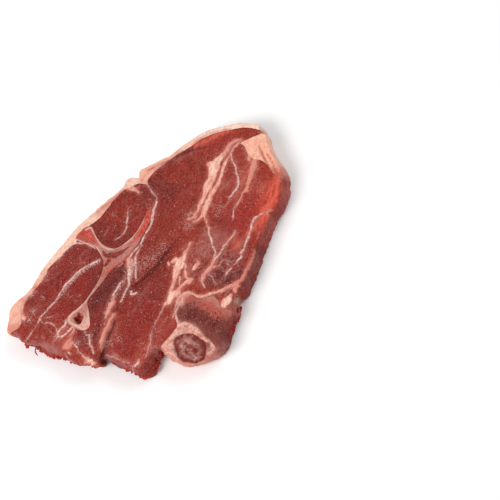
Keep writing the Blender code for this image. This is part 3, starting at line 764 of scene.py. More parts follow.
PINK = [
    (.75, [(-64, 13, 1.4), (-70, 12, 2), (-76, 9, 2)]), (.7, [(-66, 9, 1.5), (-70, 6, 3), (-74, 3, 3)]),
    (.5, [(-71, -9, 2), (-71, -15, 3)]), (.5, [(-60, -11, 3), (-52, -5, 3), (-44, -1, 2)]),
    (.6, [(-58, -17, 2), (-57, -24, 2), (-55, -30, 2)]), (.55, [(-50, -31, 3), (-40, -29, 2.4)]),
    (.7, [(-30, 9.5, 1.6), (-23, 11, 2), (-17, 16, 2.4), (-14, 19, 2)]),
    (.6, [(5, 29, 1.4), (12, 32.5, 1.8), (18, 36, 2)]), (.45, [(-11, 22, 1.5), (0, 25.5, 1.5)]),
    (.6, [(27, 13.5, 2.6), (34, 16, 3), (44, 21, 3.4), (56, 28, 4), (66, 33, 3), (76, 35, 2)]),
    (.5, [(36, 11, 3), (46, 17, 3), (56, 22, 3)]),
    (.5, [(52, 8, 2), (62, 11, 2.4), (74, 17, 3), (80, 22, 2)]),
    (.6, [(-18, -15, 3), (-8, -13, 4), (2, -9, 4), (8, -3, 4)]), (.4, [(12, 1, 3), (17, 4, 2)]),
    (.6, [(6, -18, 2), (10, -16, 2), (18, -14, 2.4), (30, -10, 2), (40, -8, 1.6)]),
    (.6, [(0, -26, 1.6), (8, -30, 2), (18, -33.5, 2.2), (28, -30.5, 1.8), (38, -25.5, 1.6)]),
    (.6, [(3, -33, 2), (3, -38, 2), (8, -41, 2)]), (.5, [(32, -20, 2), (44, -14, 2), (54, -9.5, 2)]),
    (.5, [(36, -14, 4)]), (.35, [(70, 25, 3), (64, 15, 3)]), (.4, [(-77, 34, 3), (-84, 29, 2)]),
    (.5, [(14, 53, 2), (22, 49, 1.5), (22, 42, 1.5)]), (.4, [(-60, 41.5, 1.6), (-44, 46, 1.6)])]
CELLS = [(.7, [(10, -18, 5), (20, -20, 5), (28, -20, 4)]), (.7, [(8, -9, 4), (18, -8, 5), (28, -12, 5)]),
         (.5, [(16, -1, 4), (28, 0, 5)]), (.5, [(-64, -3, 5)]), (.4, [(-70, 14, 4)]), (.4, [(-16, -20, 3)])]
print("dark, pink and netted places:", len(DARK_AND_SHADE), len(PINK), len(CELLS))

# %% Wet, coral, mauve and frosted places
WET = [
    (1, [(50, 0, 7)]), (.8, [(45, -6, 4.5)]), (.7, [(62, -5, 5.5)]), (.6, [(56, 8, 3)]),
    (.6, [(56, 49, 1), (60, 49, 1.6), (64, 48.6, 1.8)]),
    (.8, [(29.5, 55.4, .7), (34, 54.8, .7), (38, 53.6, .9), (43, 52.6, .8)]),
    (.7, [(17, 38, 1.6)]), (.8, [(-65.5, 40.5, 1.6)]), (.8, [(-37.5, 4.8, 1.2)]),
    (.7, [(3.5, 2.7, 1)]), (.6, [(-88, 25, 2.5)]), (.5, [(-86, 14, 3)]), (.6, [(-81, -2, 3)]),
    (.7, [(-60.5, 1, 1.4), (-56.5, 3.4, 1.4)]), (.9, [(2.5, -34, 1.4), (8, -33.4, 1.2)]),
    (.5, [(5, 33, 2), (-4, 29.5, 1.6)]), (.5, [(80, 40, 4)])]
# Coral washes: bright fresh lean, and at the rib corner partly a painted sheen of wet meat.
CORAL_AND_SHEEN = [
    (.95, [(59, 49.6, .9), (63, 49.2, 1.6), (67, 48.5, 2.2), (71, 47.6, 2.4), (75, 46.4, 2.2),
           (79, 45, 1.4), (83, 43.4, 1)]),
    (.9, [(84, 3, 2.4), (80, -.5, 3), (74, -4.5, 3.4), (67, -7.6, 3.2), (60, -9.8, 2.2)]),
    (.6, [(75, -3, 4)]), (.5, [(70, 3, 4)]), (.7, [(44, -13.5, 1.6), (52, -12.6, 2.2), (60, -12.5, 2)]),
    (.5, [(46, -20, 1.2), (54, -16, 1.4), (62, -13, 1.4)]), (.6, [(38, -12, 2.6), (35, -15, 2.6)]),
    (.45, [(30, -14, 2)]), (.4, [(66, 12, 3), (74, 17, 3)]), (.35, [(80, 25, 3)]), (.35, [(56, 28, 2)])]
FILM = [
    (1, [(32, 53, .8), (38, 51.8, 1.2), (43, 50.8, 1.5), (48, 49.8, 1.9), (53, 48.6, 2.1), (57, 47.4, 1.9),
         (61, 46, 1.2)]), (1, [(43, 50.8, 1), (53, 48.6, 1.4), (60, 46.4, 1)]),
    (.7, [(-90.5, 27, .9), (-90, 22, 1.4), (-88, 17.5, 1.8), (-85, 13.3, 1.9), (-82, 9.8, 1.9),
          (-79.3, 5.5, 1.6), (-77.5, 3, 1.4)]),
    (.5, [(14, 0, 6), (24, -4, 6), (34, -4, 5)]), (.4, [(58, 14, 5)]),
    (.5, [(-17, 1, 1.4), (-23, -2.5, 1.4), (-29, -5, 1.4), (-34, -7, 1)]),
    (.7, [(-62.5, -18, 1.2), (-60.5, -24, 1.3), (-57.5, -31, 1.2)]),
    (.4, [(-26, -24, 5), (-38, -29, 4)]), (.4, [(70, 6, 5)]), (.35, [(-72, 30, 4)]),
    (.5, [(7, -40, 2), (6.5, -42.5, 2)]), (.4, [(-66, 0, 3)]), (.35, [(-48, -9, 5)]),
    (.6, [(15.5, 51.5, 1)])]
FROST = [
    (.8, [(-80.5, 28.5, 2.4)]), (.9, [(-75, 30.5, 1.8)]), (.8, [(-66, 33, 1.2)]),
    (.8, [(-57.5, 39.7, 1)]), (.9, [(-54, 26, .8)]), (.9, [(-50, 20.3, .7)]),
    (.8, [(-53.5, 20, .7)]), (.8, [(-70, 38.3, 1)]), (.7, [(-76, 19, .7)]), (.8, [(17.5, 40, .7)]),
    (.35, [(-22, 12, 3), (-14, 12, 4), (-4, 11, 4), (5, 13, 3)]), (.4, [(22, 14, 3)]),
    (.5, [(24, 11, 2)]), (.8, [(-68.5, .5, 1.6)]), (.6, [(-65.8, 6.5, .7)]), (.6, [(-59, -2, .7)]),
    (.8, [(-46, 2.5, 1.2), (-40, 5.5, 1.6), (-34, 8, 1.6), (-28, 10.5, 1.2)]),
    (.6, [(-22, 11, 2), (-16, 17, 2)]),
    (.5, [(-58, -10, 1.6), (-50, -13, 2)]), (.4, [(44, 9, 3)]), (.5, [(40, 7, 1.6)]),
    (.5, [(-53, -31.5, 1.6)]), (.4, [(-40, -31, 2.5)]), (.3, [(28, 18, 4)])]
print("wet, coral, mauve and frosted places:", len(WET), len(CORAL_AND_SHEEN), len(FILM), len(FROST))

# %% [markdown]
# ## Bone
# Sawn bone has a hard pale shell and a spongy red-brown inside. The blade bone is cut across its fork: a
# wedge of spine, a stem, two arms with a red vein between them, and a thin plate that ends in a ring round
# an open hole. The backbone shows a porous knuckle and a round body, parted by a pale arch.

# %% Marks on the bones and on the caps of fat
BONE_DABS = {
    "pale bone": [(-58, 5.5), (-33, -35), (-24, -31), (-17, -38), (-35, -42), (-28, -52),
                  (-10, -19.5)],
    "pink bone": [(-38, 19.8), (-48, 15.8), (-56, 13.5), (-63, 12), (-23, 36), (-10, 28), (-28, 23.5),
                  (-14, 23), (4, 31), (-27, -41.5), (-20, -53.5), (3, -28), (5, -36)],
    "grey bone": [(-19, 30)],
    "red bone": [(-25, 48), (-22, 45), (-23, 41), (3, 27.5), (12, 35), (-28, 21.5), (-1, -31), (0, -38),
                 (-7, -21.5)],
    "brown sponge": [(-12, -45), (-11, -39), (-14, -24), (-9, -24), (-30, -47), (-9, -49), (-3, -47),
                     (-31, -41)],
    "dark sponge": [(-8, -36), (-6, -42), (-19.5, -43), (-10, -31), (-22, -49), (-12, -28)]}
SHELL = [                             # hard pale bone
    [(-22, 50.3, .6), (-19.2, 49.8, 1), (-18.8, 48.2, 1.2), (-19.5, 45.5, 1), (-20.3, 42, 1),
     (-20.9, 38, .8), (-20.6, 34, .9), (-19, 31, 1.2), (-15.5, 29.4, 1.2), (-10, 28.9, 1),
     (-4, 29.3, .8), (2, 31.1, .7), (8, 34.1, .6)],
    [(-29.5, 48.5, 1), (-28, 45.5, 1.2), (-26.4, 42, 1.2), (-24.9, 39, 1), (-24.6, 36, .8),
     (-26, 30.5, .6), (-30, 24.6, .6)],
    [(-60, 3.4, 1.2), (-62, 5.4, 1), (-64, 10, 1), (-64.6, 13, 1.1), (-62, 15, 1.1), (-55, 15.2, 1),
     (-50, 15.8, .7), (-42, 18.4, .6)],
    [(-57, 4.2, 1.4), (-54.4, 8, 1), (-51.5, 12, .8), (-48, 14.8, .5)]]
ARCH = [[(-36, -41, 2), (-35, -36, 3.5), (-31, -33.2, 4), (-26, -31.5, 3.2), (-21, -30.3, 3.4),
         (-17.5, -32, 4.4), (-16, -37, 4), (-15.4, -42, 3), (-15, -46, 2.2), (-14.5, -50, 2.2),
         (-16, -53, 2.6), (-20, -54, 1.5)],
        [(-20, -28, 1.6), (-18, -23.5, 1.4), (-14, -20.6, 1.2), (-9, -19, 1), (-5, -19.6, .9)]]
MARROW = [                            # dark, red and porous
    [(-23, 33.5, 1), (-23, 30, 2.8), (-21, 27.5, 3.8), (-17, 25.8, 3.2), (-13, 25.6, 1.6),
     (-9, 25.5, .8)],
    [(-27.5, 25, 1.8), (-24, 26, 2.4)], [(-24.5, 46.2, .7)], [(-23.3, 43.8, .8)]]
VEIN = [[(-11, 27, .8), (-5, 26.6, 1.4), (0, 28, 2), (4, 29.6, 2.6), (8, 31.6, 2.6), (11.5, 33.7, 1.8),
         (13.5, 35, .8)],
        [(-26.5, 49.4, 1.5), (-23, 49, 2.6), (-22.5, 46.5, 2), (-23, 44, 1.2)],
        [(-29, 20.9, .5), (-22, 21.2, .6), (-15, 21.2, .8), (-9, 22.2, .7), (-5, 23.4, .4)]]
SPONGE = [                            # porous brown bone of the backbone
    (1, [(-15, -26, 3), (-12, -27, 4), (-8, -26, 4), (-5, -29, 4)]), (1, [(-9, -33, 4), (-6, -42, 5)]),
    (.85, [(-2, -38, 4), (-6, -47, 3)])]
BODY_MIDDLE, BODY_SIZE = np.array((-25, -44)), np.array((8.6, 9.4))
CAP_RED = [
    (.6, [(-10, 53.9, .7), (-5, 53.9, .8), (0, 54.3, .8), (5, 54.9, .9), (11, 55.8, .8)]),
    (.8, [(29.5, 55.4, .7), (34, 54.8, .8), (38, 53.6, 1), (43, 52.6, .9)]),
    (.8, [(-65.5, 40.8, 1.6)]), (.4, [(-76, 41, 1.5)]), (.4, [(22.5, 53.5, 1.2)]),
    (.5, [(60, 51.6, .8), (68, 51.2, .9), (76, 48.2, .9), (84, 44, .7)]),
    (.8, [(88.5, 25, .5), (87, 22, .8), (85.8, 19, .8), (84.8, 16, .8), (84, 13, .9), (83, 10.5, 1.1),
          (82.5, 8, .7)]),
    (.8, [(87.5, 17, .6), (87.3, 13, .8), (86, 10, 1), (84.5, 7, 1.2), (83.4, 5, 1.2), (84, 3, .9)]),
    (.35, [(90.5, 18, .5), (90, 12, .6), (88, 6, .7)]), (.4, [(96.6, 32.4, 1.2)]),
    (.4, [(-91, 27.6, 1.2)]), (.35, [(81.5, 29, .8)])]
WALL_DABS = {
    "wine": [(24, -33), (36, -27), (-6, -50)],
    "scarlet": [(50, -19), (0, -46), (5, -44), (-79, 0), (-77, -8), (62, -14), (-84, 8), (-53, -33),
                (-57, -31), (74, -9), (17, -37)],
    "mauve": [(-62, -16), (-61, -20), (-59, -25)],
    "brick": [(-86, 11), (-46, -33), (-42, -32), (83, 0)],
    "rose": [(-90, 16), (-91, 23), (-12, -54)],
    "stained fat": [(9, -41), (87, 5), (-20, -55), (-71, -17)],
    "salmon": [(-93, 28), (-36.5, -36), (-34, -46), (-27, -53)],
    "peach": [(-88, 36), (-75, 42), (-50, 49)],
    "warm fat": [(90, 10), (96, 28), (95, 22), (93, 15)],
    "cream": [(12, -38.6), (-20, 55), (15, 59), (40, 56)],
    "white fat": [(97.5, 36), (80, 50)]}
print("marks on bone and caps:", len(SHELL + ARCH + MARROW + VEIN), "lines,", len(CAP_RED), "red stains")

# %% [markdown]
# ## What every point knows
# All the marks become numbers on the points of the meshes. Places are first shaken by a fraction of a
# millimetre, so drawn lines wander like real ones. On the walls the marks drift with depth, because muscles
# and seams never run quite straight down.

# %% Fields
def shaken(places, depth):
    drift = 1.6 * np.asarray(depth)[:, None]
    fine = np.column_stack((grain(places, 2.6, 21), grain(places, 2.6, 22))) * 0.38
    broad = np.column_stack((grain(places, 9, 23), grain(places, 9, 24))) * 0.45
    return places + fine + broad + drift * np.column_stack((grain(places, 14, 25), grain(places, 14, 26)))


def best_strand(places, graded_lines):
    """The signed width and the paleness of the strand that is closest to each place."""
    inside, pale = np.full(len(places), FAR), np.zeros(len(places))
    for paleness, line in graded_lines:
        this = strands(places, [line])
        pale = np.where(this > inside, paleness, pale)
        inside = np.maximum(inside, this)
    return inside, pale


def fields_of(piece):
    """Every field of a piece, by name."""
    real, depth = piece.places, piece.depth
    at = shaken(real, depth)
    found = {"fat": strands(at, FAT_SEAMS), "dark": wash(at, DARK_AND_SHADE), "wet": wash(at, WET),
             "coral": wash(at, CORAL_AND_SHEEN), "film": wash(at, FILM), "frost": wash(at, FROST),
             "pink": wash(at, PINK), "cells": wash(at, CELLS)}
    found["skin"], found["pale"] = best_strand(at, SKINS)
    found["shell"] = strands(at, SHELL)
    found["arch"] = strands(at, ARCH)
    found["marrow"] = strands(at, MARROW)
    found["vein"] = strands(at, VEIN)
    found["sponge"] = wash(at, SPONGE)
    found["cap_red"] = wash(at, CAP_RED)
    found["body"] = np.where((depth > 0) & (depth < 1), -1, 1 - np.hypot(*((at - BODY_MIDDLE) / BODY_SIZE).T)
                             + 0.16 * layered(at, 9, 41))
    hole, _, _ = near(real, hole_rim, 3)
    found["hole"] = np.where(within(real, hole_rim[:-1]), hole, -hole)
    dist = rim_place(real)[0]
    on_wall = (1 - blend(0, 1.0, dist)) * (0.3 + 0.7 * blend(0, 0.12, depth))
    found["wall"] = np.where(depth == 1, 1 - blend(0.3, 2.5, dist), on_wall)
    found["fat"] -= 2.5 * blend(0.02, 0.12, depth) * (depth < 1) * (dist < 0.01)
    return at, found


def relief(places, found):
    """Fine relief of the face in millimetres, from the marks on it and from the grain of the meat."""
    turn = math.radians(28)
    streak = places @ np.array(((math.cos(turn) / 2.5, -math.sin(turn)),
                                (math.sin(turn) / 2.5, math.cos(turn))))
    meat = 0.13 * layered(streak, 2.2, 31) + 0.10 * layered(places, 1.5, 35)
    seam = found["fat"]
    body_edge = -0.3 * blend(-0.04, 0.06, found["body"]) - 0.35 * np.exp(-(found["body"] / 0.06) ** 2)
    pit = -5 * blend(-0.1, 0.7, found["hole"]) + 0.5 * np.exp(-((found["hole"] + 0.8) / 0.7) ** 2)
    return (meat * (1 - 0.5 * blend(-0.3, 0.5, seam)) + 0.18 * blend(-0.1, 0.6, seam)
            - 0.22 * np.exp(-((seam + 0.25) / 0.3) ** 2)
            + 0.16 * blend(-0.2, 0.3, found["skin"]) * (0.4 + found["pale"])
            - 0.10 * np.exp(-((found["skin"] + 0.5) / 0.4) ** 2)
            - 0.25 * blend(-0.2, 0.5, found["marrow"]) - 0.3 * blend(-0.2, 0.6, found["vein"])
            + body_edge + pit)


shift = np.abs(shaken(outline, np.zeros(len(outline))) - outline).mean()
print("marks are shaken by", round(float(shift), 2), "mm on average")

# %% [markdown]
# Now each piece becomes a mesh. Its points go to their places in space, and the fields ride along as
# attributes that the materials read.

# %% Make the pieces
def attribute(mesh, name, values, kind='FLOAT'):
    layer = mesh.attributes.new(name, kind, 'POINT')
    if kind == 'FLOAT':
        layer.data.foreach_set("value", values.astype(np.float32))
    else:
        rgba = np.column_stack((values, np.ones(len(values)))).astype(np.float32)
        layer.data.foreach_set("color", rgba.ravel())


def make_piece(name, piece, kept, dabs):
    at, found = fields_of(piece)
    top = face_height(piece.places) + relief(at, found)
    space = in_space(piece.places, piece.depth, top)
    space[:, :2] -= PLAN_MIDDLE
    mesh = bpy.data.meshes.new(name)
    mesh.from_pydata((space * MM).tolist(), [], piece.faces)
    mesh.polygons.foreach_set("use_smooth", np.ones(len(mesh.polygons), bool))
    wall = found["wall"][:, None]
    attribute(mesh, "tint", paint(at, dabs) * (1 - wall) + paint(at, WALL_DABS) * wall, 'FLOAT_COLOR')
    if "fat" in kept:
        attribute(mesh, "fat_tint", paint(at, FAT_DABS), 'FLOAT_COLOR')
    for field in kept:
        attribute(mesh, field, found[field])
    obj = bpy.data.objects.new(name, mesh)
    bpy.context.scene.collection.objects.link(obj)
    low, high = space.min(axis=0), space.max(axis=0)
    print(name, "size in mm:", np.round(high - low, 1), "faces:", len(mesh.polygons))
    return obj


LEAN_FIELDS = ("fat", "skin", "pale", "dark", "wet", "coral", "film", "frost", "pink", "cells", "wall")
CAP_FIELDS = ("cap_red", "dark", "film", "wall")
BONE_FIELDS = ("shell", "arch", "marrow", "vein", "sponge", "body", "hole", "wall")
lean = make_piece("lean_meat", pieces["lean"], LEAN_FIELDS, LEAN_DABS)
fat_cap = make_piece("cap_of_fat", pieces["fat_cap"], CAP_FIELDS, CAP_DABS)
corner_fat = make_piece("corner_of_fat", pieces["corner_fat"], CAP_FIELDS, CAP_DABS)
blade_bone = make_piece("forked_blade_bone", pieces["blade_bone"], BONE_FIELDS, BONE_DABS)
backbone = make_piece("knuckle_of_backbone", pieces["backbone"], BONE_FIELDS, BONE_DABS)

# %% [markdown]
# ## Materials
# One small function adds a node, sets its options and joins or fills its inputs. A short table lists the
# few kinds of node that the recipes use most: noise, cells, a soft step and a mix of two colours. All
# patterns are sized in millimetres, so the object coordinates are first scaled up by a thousand.

# %% One function that adds a node
RECIPES = {   # a short name: the kind of node, what its values fill in order, its output, usual settings
    "field": ('ShaderNodeAttribute', ("attribute_name",), "Fac", {}),
    "tone": ('ShaderNodeAttribute', ("attribute_name",), "Color", {}),
    "math": ('ShaderNodeMath', ("operation", 0, 1, "use_clamp"), 0, {}),
    "share": ('ShaderNodeMath', (0, 1, "use_clamp"), 0, {"operation": 'MULTIPLY', "use_clamp": True}),
    "step": ('ShaderNodeMapRange', (0, 1, 2, 3, 4), 0, {"interpolation_type": 'SMOOTHSTEP'}),
    "mix": ('ShaderNodeMix', (0, 6, 7), 2, {"data_type": 'RGBA'}),
    "bright": ('ShaderNodeVectorMath', (0, 3), 0, {"operation": 'SCALE'}),
    "noise": ('ShaderNodeTexNoise', ("Vector", "Scale", "Detail", "Roughness"), 0, {"Roughness": 0.55}),
    "cells": ('ShaderNodeTexVoronoi', ("Vector", "Scale", "feature"), "Distance",
              {"feature": 'DISTANCE_TO_EDGE', "Randomness": 1.0})}


class Nodes:
    """Holds a node tree."""

    def add(self, kind, *values, out=0, **settings):
        """Add a node, set it up, and join or fill its inputs, from a dictionary or as its recipe says."""
        kind, keys, out, usual = RECIPES.get(kind, (kind, (), out, {}))
        inputs = dict(zip(keys, values)) if keys else dict(*values)
        node = self.tree.nodes.new(kind)
        for key, value in {**usual, **settings, **inputs}.items():
            if isinstance(value, str) and value.startswith("#"):
                value = (*linear(value), 1)
            if isinstance(key, str) and hasattr(node, key):
                setattr(node, key, value)
            elif isinstance(value, bpy.types.NodeSocket):
                self.tree.links.new(value, node.inputs[key])
            else:
                node.inputs[key].default_value = value
        return node.outputs[out] if node.outputs else node


print("recipes:", sorted(RECIPES))


# %% Materials built of nodes
class Shader(Nodes):
    """A material's node tree. Its coordinates are in millimetres."""

    def __init__(self, name):
        self.material = bpy.data.materials.new(name)
        self.material.use_nodes = True
        self.tree = self.material.node_tree
        self.tree.nodes.clear()
        place = self.add('ShaderNodeTexCoord', out="Object")
        self.mm = self.add('ShaderNodeVectorMath', {0: place, 3: 1000.0}, operation='SCALE')

    def streaks(self, degrees, stretch):
        """Coordinates turned on the table and squeezed along one way, so patterns run as streaks."""
        turned = self.add('ShaderNodeVectorRotate', {"Vector": self.mm, "Angle": math.radians(-degrees)},
                          rotation_type='Z_AXIS')
        return self.add('ShaderNodeVectorMath', {0: turned, 1: (1 / stretch, 1, 1)},
                        operation='MULTIPLY')

    def warped(self, size, span):
        """Coordinates pushed about by noise, so that regular cells lose their regular look."""
        push = self.add('ShaderNodeTexNoise', {"Vector": self.mm, "Scale": 1 / size, "Detail": 2.0},
                        out="Color")
        push = self.add('ShaderNodeVectorMath', {0: push, 1: (0.5, 0.5, 0.5)}, operation='SUBTRACT')
        push = self.add('ShaderNodeVectorMath', {0: push, 3: span}, operation='SCALE')
        return self.add('ShaderNodeVectorMath', {0: self.mm, 1: push}, operation='ADD')

    def around(self, noise, span):
        """The noise centred on zero, with a span in millimetres."""
        return self.add("math", 'MULTIPLY', self.add("math", 'SUBTRACT', noise, 0.5), span)

    def finish(self, colour, roughness, height, soft, depth=0.6):
        """The surface: colour, roughness, bumps in millimetres and how far light soaks in."""
        bump = self.add('ShaderNodeBump', {"Height": height, "Strength": depth, "Distance": MM})
        shader = self.add('ShaderNodeBsdfPrincipled', {
            "Base Color": colour, "Roughness": roughness, "Normal": bump,
            "Subsurface Weight": soft, "Subsurface Radius": (1.0, 0.35, 0.2), "Subsurface Scale": 1.4 * MM,
            "Specular IOR Level": 0.12})
        self.add('ShaderNodeOutputMaterial', {"Surface": shader})
        return self.material


print("steps of several nodes:", [name for name in vars(Shader) if not name.startswith("_")])

# %% [markdown]
# ### Raw lean
# The red of raw lean comes from the dabs. On it lie a fine grain of muscle bundles, pale smears where the
# saw dragged fat over the face, and the washes. The field of each mark is shaken with noise before it is
# cut, so its edge frays into the grain.

# %% The red of the lean
def lean_red(s, along, fine, patch):
    """Dabs of tone under lumps of light and dark, threads, smears and the washes."""
    colour = s.add('ShaderNodeHueSaturation', {"Color": s.add("tone", "tint"), "Saturation": 1.2})
    colour = s.add("bright", colour, s.add("step", s.add("noise", s.mm, 1 / 3.2, 4), 0.32, 0.7, 0.64, 0.94))
    colour = s.add("bright", colour, s.add("step", fine, 0.38, 0.63, 0.78, 1.12))
    ruddy = s.add("step", s.add("noise", s.mm, 1 / 4.5, 4), 0.5, 0.68)
    colour = s.add("mix", s.add("share", ruddy, 0.18), colour, "#8c2823")
    threads = s.add("step", s.add("noise", s.streaks(31, 9), 1 / 0.9, 5, 0.7), 0.53, 0.64)
    threads = s.add("math", 'MULTIPLY', threads, s.add("step", s.add("noise", s.mm, 1 / 9, 3), 0.44, 0.62))
    colour = s.add("mix", s.add("share", threads, 0.26), colour, "#b4625a")
    smear = s.add("math", 'MULTIPLY', s.add("step", s.add("noise", along, 1 / 1.3, 5, 0.75), 0.54, 0.7),
                  s.add("step", patch, 0.42, 0.66))
    colour = s.add("mix", s.add("share", smear, 0.36), colour, "#b9817a")
    # dark washes: dark muscle, and painted shade in the folds, the crack and beside the step
    colour = s.add("mix", s.add("share", s.add("field", "dark"), 0.75), colour, "#560b08")
    colour = s.add("mix", s.add("share", s.add("field", "wet"), 0.84), colour, "#90170d")
    pink = s.add("step", s.add("noise", along, 1 / 1.7, 5, 0.7), 0.4, 0.6, 0.15, 1)
    colour = s.add("mix", s.add("share", s.add("math", 'MULTIPLY', s.add("field", "pink"), pink, True), 0.6),
                   colour, "#c57b6e")
    cells = s.add("field", "cells")
    colour = s.add("bright", colour, s.add("step", cells, 0.1, 1, 1, 0.86))
    net = s.add("step", s.add("cells", s.warped(2.5, 3.0), 1 / 3.4), 0.02, 0.14, 1, 0)
    net = s.add("math", 'MULTIPLY', net, s.add("step", s.add("noise", s.mm, 1 / 1.1, 3), 0.4, 0.6, 0.2, 1))
    colour = s.add("mix", s.add("share", s.add("math", 'MULTIPLY', cells, net), 0.6), colour, "#bf8a80")
    # coral: bright fresh lean, partly a painted sheen of wet meat at the rib corner
    coral = s.add("step", s.add("noise", s.streaks(33, 4), 1 / 1.6, 5), 0.33, 0.58, 0.1, 1)
    colour = s.add("mix", s.add("share", s.add("math", 'MULTIPLY', s.add("field", "coral"), coral, True),
                                0.85), colour, "#d45c49")
    film = s.add("step", s.add("noise", along, 1 / 1.6, 4), 0.36, 0.64, 0.2, 1)
    colour = s.add("mix", s.add("share", s.add("math", 'MULTIPLY', s.add("field", "film"), film, True), 0.5),
                   colour, "#a56c68")
    return s.add("mix", s.add("share", s.add("step", s.add("noise", s.mm, 1 / 1.1, 3), 0.37, 0.28), 0.3),
                 colour, "#4a100e")


# %% [markdown]
# A skin shows as a pale thread with a pink halo. Fat shows as a cream seam that turns pink towards its
# edges. Skins are narrower, so noise shakes them half as far as fat.

# %% Skins and fat on the lean
def lay_skins(s, colour, fray):
    skin = s.add("math", 'ADD', s.add("field", "skin"), s.add("share", fray, 0.5, False))
    pale = s.add("field", "pale")
    halo = s.add("math", 'MULTIPLY', s.add("step", skin, -2.2, 0),
                 s.add("step", s.add("noise", s.mm, 1 / 1.2, 4), 0.42, 0.66))
    colour = s.add("mix", s.add("share", s.add("math", 'MULTIPLY', halo, pale), 0.5), colour, "#bd7c72")
    share = s.add("math", 'MULTIPLY', s.add("step", skin, -0.3, 0.4),
                  s.add("step", s.add("noise", s.mm, 1 / 1.4, 4), 0.32, 0.55, 0.3, 1))
    share = s.add("math", 'MULTIPLY', share, s.add("step", pale, 0.1, 0.95, 0.12, 1.0))
    skin_colour = s.add("mix", s.add("step", s.add("noise", s.mm, 1 / 0.9, 3), 0.4, 0.65), "#cb9a90",
                        "#efd6cf")
    return s.add("mix", s.add("share", share, 0.92), colour, skin_colour)


def lay_fat(s, colour, fray, along):
    fat = s.add("math", 'ADD', s.add("field", "fat"), fray)
    halo = s.add("math", 'MULTIPLY', s.add("step", fat, -2.2, 0.1),
                 s.add("step", s.add("noise", along, 1 / 1.5, 4), 0.38, 0.62))
    colour = s.add("mix", s.add("share", halo, 0.6), colour, "#bd6a5c")
    fat_colour = s.add("bright", s.add("tone", "fat_tint"),
                       s.add("step", s.add("noise", s.mm, 1 / 1.3, 4), 0.32, 0.68, 0.76, 0.94))
    fat_colour = s.add("mix", s.add("step", s.add("noise", along, 1 / 1.5, 4, 0.65), 0.42, 0.62, 0, 0.8),
                       fat_colour, "#cb7a6a")
    fat_colour = s.add("mix", s.add("step", fat, 0.0, 1.1, 0.6, 0.0), fat_colour, "#c97868")
    return s.add("mix", s.add("step", fat, -0.45, 0.4), colour, fat_colour)


# %% [markdown]
# The walls are torn and wet, so they are a deeper red than the sawn face. Along the upper part of the left
# walls a smooth mauve membrane is left. Frost and pale specks lie over everything; the specks are saw dust
# and painted glints of the wet face.

# %% Raw lean meat
def raw_lean():
    s = Shader("raw_lamb_lean")       # moist red muscle with a dull sawn grain
    along = s.streaks(28, 3.0)
    fray = s.add("math", 'ADD', s.around(s.add("noise", s.mm, 1 / 4.5, 5, 0.65), 2.8),
                 s.around(s.add("noise", along, 1 / 0.8, 4, 0.7), 1.8))
    patch = s.add("noise", s.mm, 1 / 6, 4)
    fine = s.add("noise", along, 1 / 0.85, 5, 0.72)
    colour = lay_fat(s, lay_skins(s, lean_red(s, along, fine, patch), fray), fray, along)
    # the strongest dark washes darker still: dark muscle and the painted fold shadows
    colour = s.add("mix", s.add("step", s.add("field", "dark"), 0.6, 0.9, 0, 0.8), colour, "#520d0a")

    torn = s.add("step", s.add("noise", s.mm, 1 / 2.6, 5, 0.7), 0.35, 0.62, 0.75, 0.1)
    colour = s.add("mix", s.add("math", 'MULTIPLY', s.add("field", "wall"), torn), colour, "#7c1d17")
    above_table = s.add('ShaderNodeSeparateXYZ', {0: s.mm}, out="Z")
    membrane = s.add("math", 'MULTIPLY', s.add("field", "film"), s.add("field", "wall"))
    membrane = s.add("math", 'MULTIPLY', membrane, s.add("step", above_table, 8, 11))
    colour = s.add("mix", s.add("share", membrane, 1.1), colour, "#9c625d")
    frost = s.add("math", 'MULTIPLY', s.add("field", "frost"),
                  s.add("step", s.add("noise", s.mm, 1 / 0.8, 3), 0.45, 0.58), True)
    # pale specks: saw dust, and painted glints of the wet face
    specks_and_glints = s.add("step", s.add("noise", s.mm, 1 / 1.0, 3, 0.7), 0.61, 0.66)
    frost = s.add("math", 'MAXIMUM', frost, s.add("math", 'MULTIPLY', specks_and_glints,
                                                  s.add("step", patch, 0.5, 0.64)))
    colour = s.add("mix", s.add("share", frost, 0.62), colour, "#e0bab1")
    wetness = s.add("math", 'MAXIMUM', s.add("field", "wet"), s.add("field", "coral"))
    roughness = s.add("math", 'ADD', s.add("step", wetness, 0, 1, 0.46, 0.26),
                      s.add("share", s.add("field", "wall"), 0.15))
    height = s.add("math", 'ADD', s.add("share", fine, 0.25, False),
                   s.add("share", s.add("noise", s.mm, 1 / 0.6, 2), 0.14, False))
    return s.finish(colour, roughness, height, 0.1)


lean_material = raw_lean()
print(lean_material.name, "has", len(lean_material.node_tree.nodes), "nodes")

# %% [markdown]
# ### Raw fat
# Fat is lobed: small soft cells with pinker bounds. Blood stains run along the folds.

